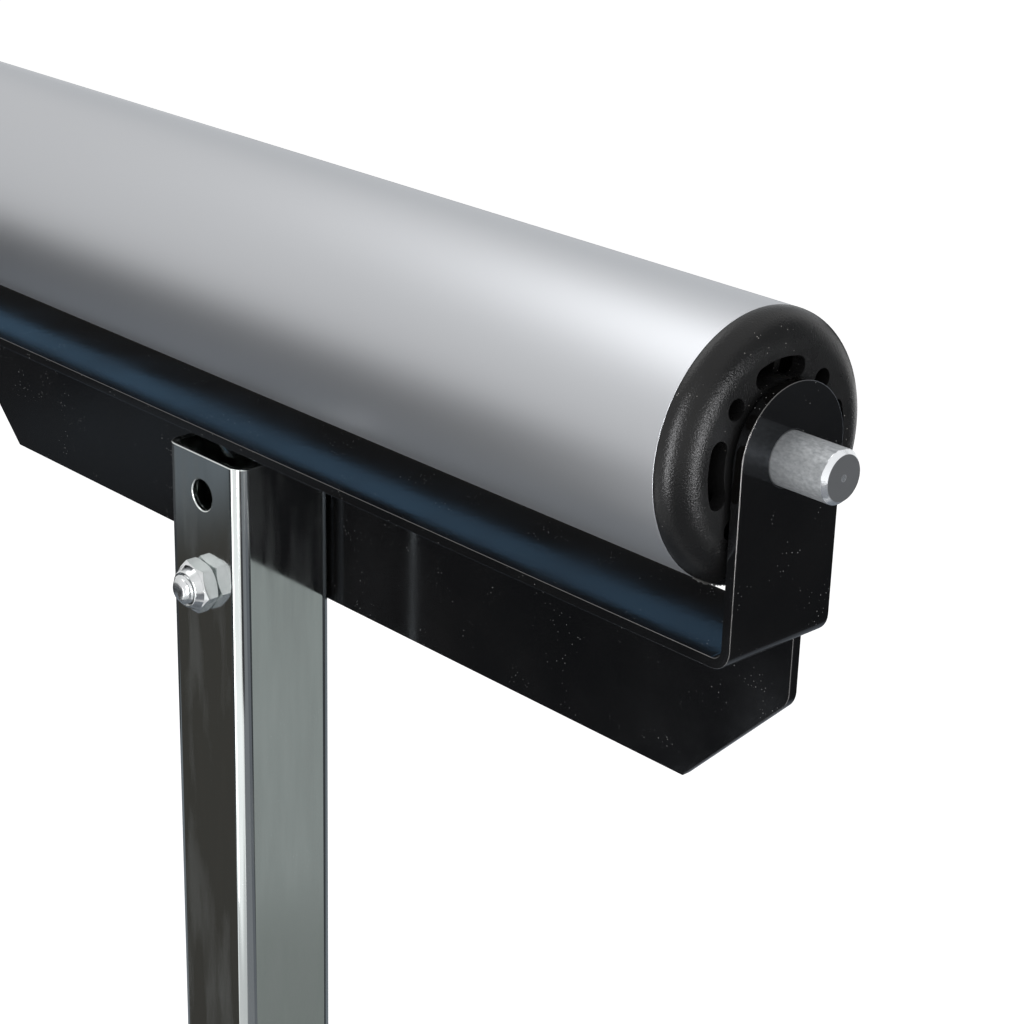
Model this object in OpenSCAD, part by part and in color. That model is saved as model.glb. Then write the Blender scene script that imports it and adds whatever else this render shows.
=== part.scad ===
// Roller stand: one roller carried in a folded steel bracket on a telescopic
// square column, with a clamp knob for the height and four bolted legs.
// X runs along the roller, -Y is the front and Z points up from the floor.

/* [Roller] */
// Outer diameter of the roller tube
tube_d = 60; // [58:1:70]
// Wall of the roller tube
tube_wall = 2; // [1.5:0.25:3]
// Length of the roller tube
tube_len = 337.5; // [300:0.5:450]

/* [End caps] */
// Height by which an end cap stands out of the tube
cap_out = 6.5; // [6:0.25:8]
// Radius of the cap's fat round rim
rim_r = 4.8; // [4:0.1:5]
// Depth of the cap's flat face below the crest of its rim
face_sink = 1.2; // [0.8:0.1:2]
// Thickness of the cap's flat face
cap_web = 2.5; // [2:0.25:3]
// Length of the cap's skirt inside the tube
skirt_len = 22; // [16:1:30]
// Wall of the skirt
skirt_wall = 2.5; // [1.5:0.25:3]
// Wall of the hub round the bearing
hub_wall = 2; // [1.5:0.25:2.5]
// Opening round the spacer bush in the cap's face
lip_gap = 1.5; // [0.5:0.25:2]
// Width of the slots in the cap's face, and diameter of the round holes between them
slot_w = 4.6; // [3:0.1:5]
// Diameter of the ring on which the slots lie
slot_ring_d = 36.6; // [35:0.2:38]
// Angle that a slot covers between the centres of its round ends
slot_span = 32; // [10:1:44]
// Number of slots, with as many round holes between them
slot_count = 4; // [2:1:5]
// Thickness of the ribs behind the face
rib_t = 1.5; // [1:0.25:2.5]

/* [Bearings] */
// Outer diameter of a ball bearing
bearing_d = 28; // [26:1:28]
// Width of a ball bearing
bearing_w = 8; // [8:0.5:10]
// Radial thickness of the bearing rings
ring_t = 2.7; // [2.4:0.1:2.9]
// Diameter of the balls
ball_d = 4.7; // [4:0.1:5]
// Number of balls in a bearing
ball_count = 8; // [6:1:9]
// Gap between a ball and its races
ball_play = 0.1; // [0.05:0.01:0.15]
// Thickness of the bearing's shields
shield_t = 0.6; // [0.4:0.1:0.8]
// Depth of the shields below the faces of the rings
shield_inset = 0.3; // [0.1:0.1:0.5]
// Radial thickness of the ball cages
cage_t = 1.8; // [1.4:0.1:2.2]

/* [Axle] */
// Diameter of the axle
axle_d = 12; // [11:0.5:13]
// Length of the axle outside each ear
axle_out = 14.5; // [8:0.5:25]
// Chamfer at the ends of the axle
axle_chamfer = 1; // [0.5:0.1:1.5]
// Diameter of the turning centre in the end faces
centre_d = 2.4; // [1.5:0.1:4]
// Thickness of the retaining rings
clip_t = 1; // [0.8:0.1:1.5]
// Radial width of the retaining rings
clip_w = 2.4; // [2:0.1:2.8]
// Opening of the retaining rings
clip_gap = 5; // [4:0.5:7]
// Diameter of the retaining rings' lugs
lug_d = 3; // [2.6:0.1:3.4]
// Diameter of the holes in the lugs
lug_hole_d = 1.1; // [0.8:0.1:1.4]
// Depth of the grooves in the axle
groove_depth = 0.25; // [0.2:0.05:0.5]
// Wall of the spacer bushes between bearings and ears
spacer_wall = 1.9; // [1.2:0.1:2]

/* [Head bracket] */
// Thickness of the sheet that the bracket is folded from
sheet = 2.5; // [2:0.25:3]
// Outer radius of the folds
bend_r = 5; // [4:0.5:7]
// Width of the ears, which is the strip's with the flange
strip_w = 31.5; // [29:0.5:36]
// Gap between the crest of an end cap and its ear
ear_gap = 0.75; // [0.4:0.05:2]
// Height of the roller's axis above the underside of the strip
strip_drop = 44.8; // [42:0.1:55]
// Height of the centre of the ears' round tops above the roller's axis
ear_rise = 0.6; // [0:0.1:3]
// Length of the rear flange
flange_len = 343; // [300:0.5:346]
// Height of the rear flange from the top of the strip
flange_h = 51; // [50:0.5:70]
// Size of the trimmed lower corners of the flange
flange_trim = 30; // [10:1:35]
// Radius where the trimmed corners meet the flange's ends
flange_corner = 5; // [2:0.5:8]
// Width of the relief cuts at the ends of the flange's fold
relief_w = 1.5; // [1:0.25:2]
// Distance of the bracket's middle from the column's, along the roller
head_shift = 2.7; // [-6:0.1:6]
// Distance of the roller's axis behind the column's middle
head_back = 1; // [-2:0.1:3]

/* [Column] */
// Width of the inner column
column_w = 31; // [28:0.5:33]
// Wall of the inner column
column_wall = 1.5; // [1.2:0.1:2.5]
// Outer corner radius of the inner column
column_corner = 3.8; // [3:0.1:5]
// Length of the inner column
column_len = 430; // [400:5:470]
// Gap between the inner column's top and the strip
column_gap = 3.9; // [3:0.1:6]
// Length of inner column that shows, as drawn
column_shown = 220; // [60:5:340]
// Width of the outer column
outer_w = 40; // [39:0.5:44]
// Wall of the outer column
outer_wall = 2; // [1.5:0.1:2.2]
// Outer corner radius of the outer column
outer_corner = 4.5; // [4:0.5:6]
// Length of the outer column
outer_len = 500; // [460:5:600]
// Height of the outer column's lower end above the floor
outer_base = 80; // [70:1:84]
// Height of the guide sleeve's collar
sleeve_h = 6; // [4:0.5:10]
// Width by which the collar overhangs the outer column
sleeve_over = 2; // [1:0.25:4]
// Depth of the guide sleeve inside the outer column
sleeve_depth = 18; // [10:1:24]
// Gap between the inner column and the guide sleeve
slide_gap = 0.2; // [0.1:0.05:0.3]
// Height of the glide under the inner column
glide_h = 6; // [4:0.5:10]
// Depth of the plugs inside the tubes that they close
plug_depth = 15; // [8:1:25]
// Height of the outer column's bottom plug under the tube
plug_h = 4; // [2:0.5:8]

/* [Clamp] */
// Depth of the clamp screw below the outer column's top
clamp_drop = 40; // [36:1:60]
// Diameter of the clamp screw
screw_d = 10; // [8:0.5:10]
// Outer diameter of the boss on the outer column
boss_d = 20; // [16:1:26]
// Length of the boss
boss_len = 12; // [8:1:20]
// Chamfer at the boss's outer end
boss_edge = 1.2; // [0.5:0.1:2]
// Length of bare screw between boss and knob
screw_shown = 14; // [6:1:30]
// Thickness of the pressure pad
pad_t = 4; // [3:0.25:5]
// Depth of the socket in the pad
pad_socket = 2; // [1:0.25:2.5]
// Diameter of the dog point that turns in the socket
dog_d = 6; // [4:0.5:6.5]
// Outer diameter of the knob over its lobes
knob_d = 52; // [44:1:64]
// Diameter of one lobe
lobe_d = 15; // [13:0.5:18]
// Diameter of the knob between its lobes
valley_d = 41; // [34:1:46]
// Height of the knob's lobed head
knob_h = 16; // [12:1:22]
// Thickness of plastic over the screw's end
screw_cover = 5; // [3:0.5:8]
// Diameter of the knob's neck
neck_d = 20; // [18:1:26]
// Height of the knob's neck
neck_h = 8; // [4:1:12]
// Number of lobes on the knob
lobe_count = 6; // [5:1:7]

/* [Legs] */
// Reach of the legs from the column's middle
leg_reach = 235; // [225:1:300]
// Width of a leg
leg_w = 30; // [24:1:32]
// Thickness of the legs' sheet
leg_t = 3; // [2:0.5:4]
// Inner radius of the legs' folds
leg_bend = 6; // [4:0.5:10]
// Height of a leg's upper fold
leg_fold_h = 105; // [95:1:112]
// Height of the legs' tops
leg_top = 202; // [198:1:210]
// Corner radius at the top of a leg
leg_corner = 8; // [2:1:12]
// Angle at which the legs slope down
leg_slope = 26; // [24:1:35]
// Depth of the stiffening lips at the column
lip_in = 28; // [10:1:30]
// Depth of the stiffening lips at the foot
lip_end = 4; // [2:0.5:8]
// Height of the lower bolt in the legs along the roller
bolt_low = 122; // [120:1:126]
// Step up to the bolts of the other two legs
bolt_step = 13; // [12:1:14]
// Distance between the two bolts of a leg
bolt_pitch = 50; // [40:1:52]

/* [Feet] */
// Height of a rubber foot
foot_h = 16; // [14:1:22]
// Diameter of a rubber foot at the floor
foot_d = 32; // [24:1:34]
// Diameter of a rubber foot at the leg
foot_top_d = 26; // [20:1:28]
// Depth of the hole that hides the screw's head
foot_sink = 6; // [5:0.5:9]
// Diameter of the hole that hides the screw's head
foot_sink_d = 14; // [13.5:0.5:18]

/* [Fasteners] */
// Diameter of the bolts through head and legs
bolt_d = 8; // [7:0.5:8.5]
// Width across flats of the bolts' heads and nuts
bolt_af = 12; // [12:0.5:13.5]
// Height of the bolts' heads
bolt_head_h = 5.3; // [4:0.1:6.5]
// Height of the hexagon of a locking nut
nut_hex_h = 4.4; // [4:0.1:7]
// Height of the round collar of a locking nut
nut_collar_h = 2; // [1.5:0.1:3]
// Thread that shows beyond the head bolt's nut
thread_out = 1.9; // [1:0.1:8]
// Length of the leg bolts under their heads
leg_bolt_len = 60; // [58:1:70]
// Diameter of the washers
washer_d = 16; // [15:0.5:18]
// Thickness of the washers
washer_t = 1.6; // [1:0.1:2]
// Drop of the head bolt below the inner column's top
head_bolt_drop = 35.9; // [32:0.1:37]
// Drop of the spare hole below the inner column's top
spare_hole_drop = 11; // [9:0.1:14]
// Width by which bolt holes are wider than their bolts
hole_play = 0.5; // [0.2:0.1:1]
// Diameter of the foot screws
foot_screw_d = 6; // [5:0.5:6]
// Width across flats of the foot screws' nuts
foot_nut_af = 10; // [9:0.5:11]
// Height of the foot screws' nuts
foot_nut_h = 5; // [4:0.5:6]
// Thread that shows above the foot screws' nuts
foot_thread_out = 1.5; // [0.5:0.5:4]
// Diameter of the foot screws' heads
foot_head_d = 12; // [10:0.5:13]
// Height of the foot screws' heads
foot_head_h = 3.6; // [2.5:0.1:4.5]

/* [Hidden] */
$fn = 72;

// gaps between pieces that fit together, and the overrun of every cut
seat_gap = 0.03;
face_gap = 0.1;
run_gap = 0.08;
cut = 1;

// height above the balls' middle at which a cage starts, as a share of a ball
cage_in_share = 0.2;

// a hexagon's chamfer and a locking nut's collar, as shares of the width across flats
hex_edge_share = 0.08;
collar_d_share = 0.9;
collar_tip_share = 0.78;

// crimped end of a locking nut's collar, as a share of the collar's height
crimp_share = 0.4;

// heights
outer_top = outer_base + outer_len;
column_top = outer_top + column_shown;
axis_z = column_top + column_gap + strip_drop;
head_bolt_z = column_top - head_bolt_drop;
spare_hole_z = column_top - spare_hole_drop;
clamp_z = outer_top - clamp_drop;

// head bracket, measured from the roller's axis
ear_in = tube_len / 2 + cap_out + ear_gap;
ear_out = ear_in + sheet;
axle_half = ear_out + axle_out;
strip_rear = column_w / 2 + sheet - head_back;
strip_front = strip_rear - strip_w;
ear_r = strip_w / 2;
ear_mid = strip_rear - ear_r;
strip_top = sheet - strip_drop;
flange_low = strip_top - flange_h;
axle_hole_d = axle_d + hole_play;
bolt_hole_d = bolt_d + hole_play;

// end cap, measured outwards from the end of the tube
tube_r = tube_d / 2;
rim_ring_r = tube_r - rim_r;
rim_z = cap_out - rim_r;
face_z = cap_out - face_sink;
bearing_out_z = face_z - cap_web;
bearing_in_z = bearing_out_z - bearing_w;
bearing_mid_z = bearing_out_z - bearing_w / 2;
bearing_r = bearing_d / 2;
hub_r = bearing_r + hub_wall;
skirt_r = tube_r - tube_wall - seat_gap;
spacer_r = axle_d / 2 + run_gap + spacer_wall;

// ball bearing
race_in_r = axle_d / 2 + ring_t;
race_out_r = bearing_r - ring_t;
pitch_r = (race_in_r + race_out_r) / 2;
groove_r = ball_d / 2 + ball_play;
shield_z = bearing_w / 2 - shield_inset - shield_t;
cage_out_z = shield_z - face_gap;
cage_in_z = ball_d * cage_in_share;

// retaining ring in its groove
clip_z = bearing_in_z - face_gap - clip_t;

// clamp, measured forwards from the column's middle
thread_r = screw_d / 2;
pad_from = column_w / 2 + slide_gap;
pad_to = pad_from + pad_t;
socket_from = pad_to - pad_socket;
dog_r = dog_d / 2;
pad_r = thread_r - slide_gap;
boss_from = outer_w / 2;
boss_to = boss_from + boss_len;
neck_from = boss_to + screw_shown;
lobes_from = neck_from + neck_h;
knob_to = lobes_from + knob_h;
screw_to = knob_to - screw_cover;
lobe_r = lobe_d / 2;

// legs, measured outwards from the column's middle
leg_from = outer_w / 2;
fold_r = leg_from + leg_t + leg_bend;
foot_fold_z = foot_h + leg_t + leg_bend;
slope_len = (leg_fold_h - foot_fold_z) / sin(leg_slope);
foot_fold_r = fold_r + slope_len * cos(leg_slope);
foot_r = leg_reach - leg_w / 2;
leg_angles = [0, 90, 180, 270];

// bolts, through the head and through two legs
nut_h = nut_hex_h + nut_collar_h;
flange_back = column_w / 2 + sheet;
head_grip = column_w + sheet + washer_t;
grip_half = outer_w / 2 + leg_t;
washer_out = grip_half + washer_t;

// angle in the roller's turn at which the first slot stands
slot_phase = 2;

// helpers

module extrude_x(from, to) {
    translate([from, 0, 0]) rotate([90, 0, 90]) linear_extrude(to - from) children();
}

module extrude_y(from, to) {
    translate([0, to, 0]) rotate([90, 0, 0]) linear_extrude(to - from) children();
}

module rod_x(from, to, d) {
    translate([from, 0, 0]) rotate([0, 90, 0]) cylinder(d = d, h = to - from);
}

module rod_y(from, to, d) {
    translate([0, from, 0]) rotate([-90, 0, 0]) cylinder(d = d, h = to - from);
}

module ring(outer_r, inner_r, from, to) {
    translate([0, 0, from]) difference() {
        cylinder(r = outer_r, h = to - from);
        translate([0, 0, -cut]) cylinder(r = inner_r, h = to - from + 2 * cut);
    }
}

module rounded_square(w, r) {
    square([w, w - 2 * r], center = true);
    square([w - 2 * r, w], center = true);
    for (x = [-1, 1], y = [-1, 1]) translate([x, y] * (w / 2 - r)) circle(r);
}

module square_bar(w, r, from, to) {
    translate([0, 0, from]) linear_extrude(to - from) rounded_square(w, r);
}

module square_tube(w, r, wall, from, to) {
    difference() {
        square_bar(w, r, from, to);
        square_bar(w - 2 * wall, r - wall, from - cut, to + cut);
    }
}

module at_axis() {
    translate([head_shift, head_back, axis_z]) children();
}

// local z points outwards from the end of the roller tube
module at_end(side) {
    at_axis() translate([side * tube_len / 2, 0, 0]) rotate([0, 90 * side, 0]) children();
}

module at_ends() {
    for (side = [-1, 1]) at_end(side) children();
}

// head bracket: strip, ears and rear flange folded from one sheet

module tray_outline(w, h, r) {
    translate([-w / 2, r]) square([w, h - r]);
    translate([r - w / 2, 0]) square([w - 2 * r, r]);
    for (side = [-1, 1]) translate([side * (w / 2 - r), r]) circle(r);
}

module ear_outline() {
    translate([strip_front, -strip_drop - cut]) square([2 * ear_r, strip_drop + ear_rise + cut]);
    translate([ear_mid, ear_rise]) circle(ear_r);
}

module strip_and_ears() {
    height = strip_drop + ear_rise + ear_r + cut;
    difference() {
        intersection() {
            extrude_y(strip_front, strip_rear) translate([0, -strip_drop]) difference() {
                tray_outline(2 * ear_out, height, bend_r);
                translate([0, sheet]) tray_outline(2 * ear_in, height, bend_r - sheet);
            }
            extrude_x(-ear_out - cut, ear_out + cut) ear_outline();
        }
        extrude_y(strip_rear - bend_r, strip_rear + cut)
            translate([-flange_len / 2 - relief_w, -strip_drop - cut])
                square([flange_len + 2 * relief_w, sheet + 2 * cut]);
    }
}

module flange_fold() {
    extrude_x(-flange_len / 2, flange_len / 2) {
        translate([strip_rear - bend_r, strip_top - bend_r]) intersection() {
            difference() {
                circle(bend_r);
                circle(bend_r - sheet);
            }
            square(bend_r);
        }
        translate([strip_rear - sheet, flange_low])
            square([sheet, strip_top - bend_r - flange_low]);
    }
}

// the lower corners are trimmed at 45 degrees
module flange_outline() {
    half = flange_len / 2;
    knee = flange_low + flange_trim;
    ease = flange_corner * tan(22.5);
    slip = ease * cos(45);
    polygon([
        [-half, strip_top + cut], [-half, knee + ease], [slip - half, knee - slip],
        [flange_trim - half, flange_low], [half - flange_trim, flange_low],
        [half - slip, knee - slip], [half, knee + ease], [half, strip_top + cut]
    ]);
    for (side = [-1, 1])
        translate([side * (half - flange_corner), knee + ease]) circle(flange_corner);
}

module head_bracket() {
    color("#131315") at_axis() difference() {
        union() {
            strip_and_ears();
            intersection() {
                flange_fold();
                extrude_y(strip_rear - bend_r - cut, strip_rear + cut) flange_outline();
            }
        }
        rod_x(-ear_out - cut, ear_out + cut, axle_hole_d);
        for (z = [head_bolt_z, spare_hole_z]) translate([-head_shift, 0, z - axis_z])
            rod_y(strip_rear - sheet - cut, strip_rear + cut, bolt_hole_d);
    }
}

// roller

module roller_tube() {
    color("#b9bdc0") at_axis() difference() {
        rod_x(-tube_len / 2, tube_len / 2, tube_d);
        rod_x(-tube_len / 2 - cut, tube_len / 2 + cut, tube_d - 2 * tube_wall);
    }
}

module cap_section() {
    intersection() {
        union() {
            translate([rim_ring_r, rim_z]) circle(rim_r);
            translate([rim_ring_r - rim_r, 0]) square([rim_r, rim_z]);
        }
        square([tube_r, cap_out]);
    }
    translate([skirt_r - skirt_wall, -skirt_len]) square([skirt_wall, skirt_len + rim_z]);
    translate([spacer_r + lip_gap, bearing_out_z])
        square([rim_ring_r - spacer_r - lip_gap, cap_web]);
    translate([bearing_r + seat_gap, bearing_in_z])
        square([hub_wall - seat_gap, face_z - bearing_in_z]);
}

module slot_cut() {
    rotate([0, 0, -slot_span / 2]) rotate_extrude(angle = slot_span)
        translate([slot_ring_d / 2 - slot_w / 2, 0]) square([slot_w, cap_web + 2 * cut]);
    for (side = [-1, 1]) rotate([0, 0, side * slot_span / 2])
        translate([slot_ring_d / 2, 0, 0]) cylinder(d = slot_w, h = cap_web + 2 * cut);
}

module cap_rib() {
    translate([hub_r - hub_wall / 2, -rib_t / 2, bearing_in_z])
        cube([skirt_r - skirt_wall / 2 - hub_r + hub_wall / 2, rib_t, bearing_w + cap_web / 2]);
}

module end_cap(side) {
    color("#1c1d1f") at_end(side) difference() {
        union() {
            rotate_extrude() cap_section();
            for (i = [0 : 2 * slot_count - 1])
                rotate([0, 0, slot_phase + (i + 0.5) * 180 / slot_count]) cap_rib();
        }
        translate([0, 0, bearing_out_z - cut]) for (i = [0 : slot_count - 1])
            rotate([0, 0, slot_phase + i * 360 / slot_count]) {
                slot_cut();
                rotate([0, 0, 180 / slot_count]) translate([slot_ring_d / 2, 0, 0])
                    cylinder(d = slot_w, h = cap_web + 2 * cut);
            }
    }
}

// axle, with a groove inside each bearing for its retaining ring

module axle() {
    color("#9ba0a3") at_axis() difference() {
        union() {
            rod_x(axle_chamfer - axle_half, axle_half - axle_chamfer, axle_d);
            for (side = [-1, 1]) rotate([0, 90 * side, 0])
                translate([0, 0, axle_half - axle_chamfer])
                    cylinder(d1 = axle_d, d2 = axle_d - 2 * axle_chamfer, h = axle_chamfer);
        }
        for (side = [-1, 1]) rotate([0, 90 * side, 0]) {
            translate([0, 0, axle_half - centre_d / 2])
                cylinder(d1 = 0, d2 = 2 * centre_d, h = centre_d);
            translate([0, 0, tube_len / 2])
                ring(axle_d / 2 + cut, axle_d / 2 - groove_depth,
                     clip_z - seat_gap, clip_z + clip_t + seat_gap);
        }
    }
}

module axle_clips() {
    ring_r = axle_d / 2 - groove_depth + seat_gap;
    lug_x = ring_r + clip_w / 2;
    lug_y = clip_gap / 2 + lug_hole_d;
    color("#5d6064") at_ends() translate([0, 0, clip_z]) difference() {
        union() {
            ring(ring_r + clip_w, ring_r, 0, clip_t);
            for (side = [-1, 1]) translate([lug_x, side * lug_y, 0])
                cylinder(d = lug_d, h = clip_t);
        }
        translate([0, -clip_gap / 2, -cut])
            cube([ring_r + 2 * clip_w, clip_gap, clip_t + 2 * cut]);
        for (side = [-1, 1]) translate([lug_x, side * lug_y, -cut])
            cylinder(d = lug_hole_d, h = clip_t + 2 * cut);
        translate([0, 0, -cut]) cylinder(r = ring_r, h = clip_t + 2 * cut);
    }
}

module spacer_bushes() {
    color("#8d9296") at_ends()
        ring(spacer_r, axle_d / 2 + run_gap, bearing_out_z, cap_out + ear_gap - face_gap);
}

// ball bearings

module race_section(from_r, to_r) {
    difference() {
        translate([from_r, -bearing_w / 2]) square([to_r - from_r, bearing_w]);
        translate([pitch_r, 0]) circle(groove_r);
    }
}

module bearing_outer_rings() {
    color("#c9ccd0") at_ends() translate([0, 0, bearing_mid_z])
        rotate_extrude() race_section(race_out_r, bearing_r);
}

module bearing_inner_rings() {
    color("#c9ccd0") at_ends() translate([0, 0, bearing_mid_z])
        rotate_extrude() race_section(axle_d / 2 + seat_gap, race_in_r);
}

module bearing_shields() {
    color("#2b2c2e") at_ends() translate([0, 0, bearing_mid_z]) for (side = [-1, 1])
        translate([0, 0, side * (shield_z + shield_t / 2)])
            ring(race_out_r - seat_gap, race_in_r + face_gap, -shield_t / 2, shield_t / 2);
}

module bearing_balls(side) {
    color("#dfe2e5") at_end(side) translate([0, 0, bearing_mid_z])
        for (i = [0 : ball_count - 1]) rotate([0, 0, i * 360 / ball_count])
            translate([pitch_r, 0, 0]) sphere(d = ball_d);
}

module bearing_cage(side) {
    color("#b08d4f") at_end(side) translate([0, 0, bearing_mid_z]) difference() {
        ring(pitch_r + cage_t / 2, pitch_r - cage_t / 2, -cage_out_z, -cage_in_z);
        for (i = [0 : ball_count - 1]) rotate([0, 0, i * 360 / ball_count])
            translate([pitch_r, 0, 0]) sphere(r = groove_r);
    }
}

// bolts, nuts and washers, drawn along z from the face that they bear on

module hexagon(af, h) {
    corner = af / cos(30);
    edge = af * hex_edge_share;
    intersection() {
        cylinder(d = corner, h = h, $fn = 6);
        union() {
            cylinder(d = corner, h = h - edge);
            translate([0, 0, h - edge]) cylinder(d1 = corner, d2 = af, h = edge);
        }
    }
}

module bolt(d, af, head_h, shank) {
    hexagon(af, head_h);
    translate([0, 0, -shank]) cylinder(d = d, h = shank);
}

module lock_nut(d, af, hex_h, collar_h) {
    collar_d = af * collar_d_share;
    crimp_h = collar_h * crimp_share;
    difference() {
        union() {
            hexagon(af, hex_h);
            cylinder(d = collar_d, h = hex_h + collar_h - crimp_h);
            translate([0, 0, hex_h + collar_h - crimp_h])
                cylinder(d1 = collar_d, d2 = af * collar_tip_share, h = crimp_h);
        }
        translate([0, 0, -cut]) cylinder(d = d + 2 * seat_gap, h = hex_h + collar_h + 2 * cut);
    }
}

module washer(d, bore) {
    ring(d / 2, bore / 2, 0, washer_t);
}

module at_head_bolt() {
    translate([0, 0, head_bolt_z]) children();
}

module head_bolt() {
    color("#a9aeb0") at_head_bolt() translate([0, flange_back + washer_t, 0])
        rotate([-90, 0, 0])
            bolt(bolt_d, bolt_af, bolt_head_h, head_grip + nut_h + thread_out);
}

module head_washer() {
    color("#a9aeb0") at_head_bolt() translate([0, flange_back, 0]) rotate([-90, 0, 0])
        washer(washer_d, bolt_hole_d);
}

module head_nut() {
    color("#b4b9ba") at_head_bolt() translate([0, -column_w / 2, 0]) rotate([90, 0, 0])
        lock_nut(bolt_d, bolt_af, nut_hex_h, nut_collar_h);
}

// columns

module inner_column() {
    color("#a7adab") difference() {
        square_tube(column_w, column_corner, column_wall, column_top - column_len, column_top);
        for (z = [head_bolt_z, spare_hole_z]) translate([0, 0, z])
            rod_y(-column_w / 2 - cut, column_w / 2 + cut, bolt_hole_d);
    }
}

module inner_glide() {
    bottom = column_top - column_len;
    glide_w = outer_w - 2 * (outer_wall + slide_gap);
    bore_w = column_w - 2 * (column_wall + seat_gap);
    color("#222325") {
        square_bar(glide_w, column_corner, bottom - glide_h, bottom);
        square_bar(bore_w, column_corner - column_wall, bottom, bottom + plug_depth);
    }
}

module guide_sleeve() {
    bore_w = column_w + 2 * slide_gap;
    color("#1f2022") difference() {
        union() {
            square_bar(outer_w - 2 * (outer_wall + seat_gap), outer_corner - outer_wall,
                       outer_top - sleeve_depth, outer_top);
            square_bar(outer_w + 2 * sleeve_over, outer_corner + sleeve_over,
                       outer_top, outer_top + sleeve_h);
        }
        square_bar(bore_w, column_corner, outer_top - sleeve_depth - cut,
                   outer_top + sleeve_h + cut);
    }
}

module outer_column() {
    color("#141416") difference() {
        square_tube(outer_w, outer_corner, outer_wall, outer_base, outer_top);
        translate([0, 0, clamp_z]) rod_y(-outer_w / 2 - cut, 0, screw_d + hole_play);
        for (z = [bolt_low, bolt_low + bolt_pitch]) {
            translate([0, 0, z]) rod_x(-outer_w / 2 - cut, outer_w / 2 + cut, bolt_hole_d);
            translate([0, 0, z + bolt_step])
                rod_y(-outer_w / 2 - cut, outer_w / 2 + cut, bolt_hole_d);
        }
    }
}

module outer_plug() {
    bore_w = outer_w - 2 * (outer_wall + seat_gap);
    color("#1f2022") {
        square_bar(outer_w, outer_corner, outer_base - plug_h, outer_base);
        square_bar(bore_w, outer_corner - outer_wall, outer_base, outer_base + plug_depth);
    }
}

// clamp: local z points forwards from the column's middle

module at_clamp() {
    translate([0, 0, clamp_z]) rotate([90, 0, 0]) children();
}

module clamp_boss() {
    color("#141416") at_clamp() difference() {
        union() {
            translate([0, 0, boss_from]) cylinder(d = boss_d, h = boss_len - boss_edge);
            translate([0, 0, boss_to - boss_edge])
                cylinder(d1 = boss_d, d2 = boss_d - 2 * boss_edge, h = boss_edge);
        }
        translate([0, 0, boss_from - cut])
            cylinder(r = thread_r + run_gap, h = boss_len + 2 * cut);
    }
}

module clamp_pad() {
    color("#c8a24c") at_clamp() difference() {
        translate([0, 0, pad_from]) cylinder(r = pad_r, h = pad_t);
        translate([0, 0, socket_from]) cylinder(r = dog_r + run_gap, h = pad_socket + cut);
    }
}

module clamp_screw() {
    color("#9fa4a6") at_clamp() {
        translate([0, 0, socket_from + face_gap]) cylinder(r = dog_r, h = pad_socket);
        translate([0, 0, pad_to + face_gap])
            cylinder(r = thread_r, h = screw_to - pad_to - face_gap);
    }
}

module clamp_knob() {
    color("#18191b") at_clamp() difference() {
        union() {
            translate([0, 0, neck_from]) cylinder(d = neck_d, h = neck_h);
            translate([0, 0, lobes_from]) linear_extrude(knob_h) {
                circle(d = valley_d);
                for (i = [0 : lobe_count - 1]) rotate(i * 360 / lobe_count)
                    translate([knob_d / 2 - lobe_r, 0]) circle(r = lobe_r);
            }
        }
        translate([0, 0, neck_from - cut])
            cylinder(r = thread_r + seat_gap, h = screw_to - neck_from + cut);
    }
}

// legs: local x points outwards, z up

// region outside the leg's line, with the two folds at the given radius
module leg_side(r, over) {
    down = r * [-sin(leg_slope), -cos(leg_slope)];
    upper = [fold_r, leg_fold_h];
    lower = [foot_fold_r, foot_fold_z];
    polygon([
        [fold_r - r, leg_top + over], [fold_r - r, leg_fold_h], upper + down, lower + down,
        [foot_fold_r, foot_fold_z - r], [leg_reach + over, foot_fold_z - r],
        [leg_reach + over, leg_top + over]
    ]);
    translate(upper) circle(r);
    translate(lower) circle(r);
}

module leg_section() {
    difference() {
        leg_side(leg_bend + leg_t, 0);
        leg_side(leg_bend, cut);
    }
}

module lip_section() {
    down = [-sin(leg_slope), -cos(leg_slope)];
    upper = [fold_r, leg_fold_h];
    lower = [foot_fold_r, foot_fold_z];
    polygon([
        [leg_from, leg_fold_h], [leg_from, leg_fold_h - lip_in],
        lower + (leg_bend + leg_t + lip_end) * down, lower + (leg_bend + leg_t / 2) * down,
        upper + (leg_bend + leg_t / 2) * down
    ]);
}

module leg(turn, bolt_z) {
    color("#141416") rotate([0, 0, turn]) difference() {
        intersection() {
            union() {
                extrude_y(-leg_w / 2, leg_w / 2) leg_section();
                for (side = [-1, 1]) translate([0, side * (leg_w - leg_t) / 2, 0])
                    extrude_y(-leg_t / 2, leg_t / 2) lip_section();
            }
            extrude_x(0, leg_reach + cut) union() {
                translate([-leg_w / 2, 0]) square([leg_w, leg_top - leg_corner]);
                translate([leg_corner - leg_w / 2, 0]) square([leg_w - 2 * leg_corner, leg_top]);
                for (side = [-1, 1])
                    translate([side * (leg_w / 2 - leg_corner), leg_top - leg_corner])
                        circle(leg_corner);
            }
            linear_extrude(leg_top + cut) union() {
                translate([0, -leg_w / 2]) square([foot_r, leg_w]);
                translate([foot_r, 0]) circle(d = leg_w);
            }
        }
        for (z = [bolt_z, bolt_z + bolt_pitch]) translate([0, 0, z])
            rod_x(leg_from - cut, leg_from + leg_t + cut, bolt_hole_d);
        translate([foot_r, 0, foot_h - cut])
            cylinder(d = foot_screw_d + hole_play, h = leg_t + 2 * cut);
    }
}

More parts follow.
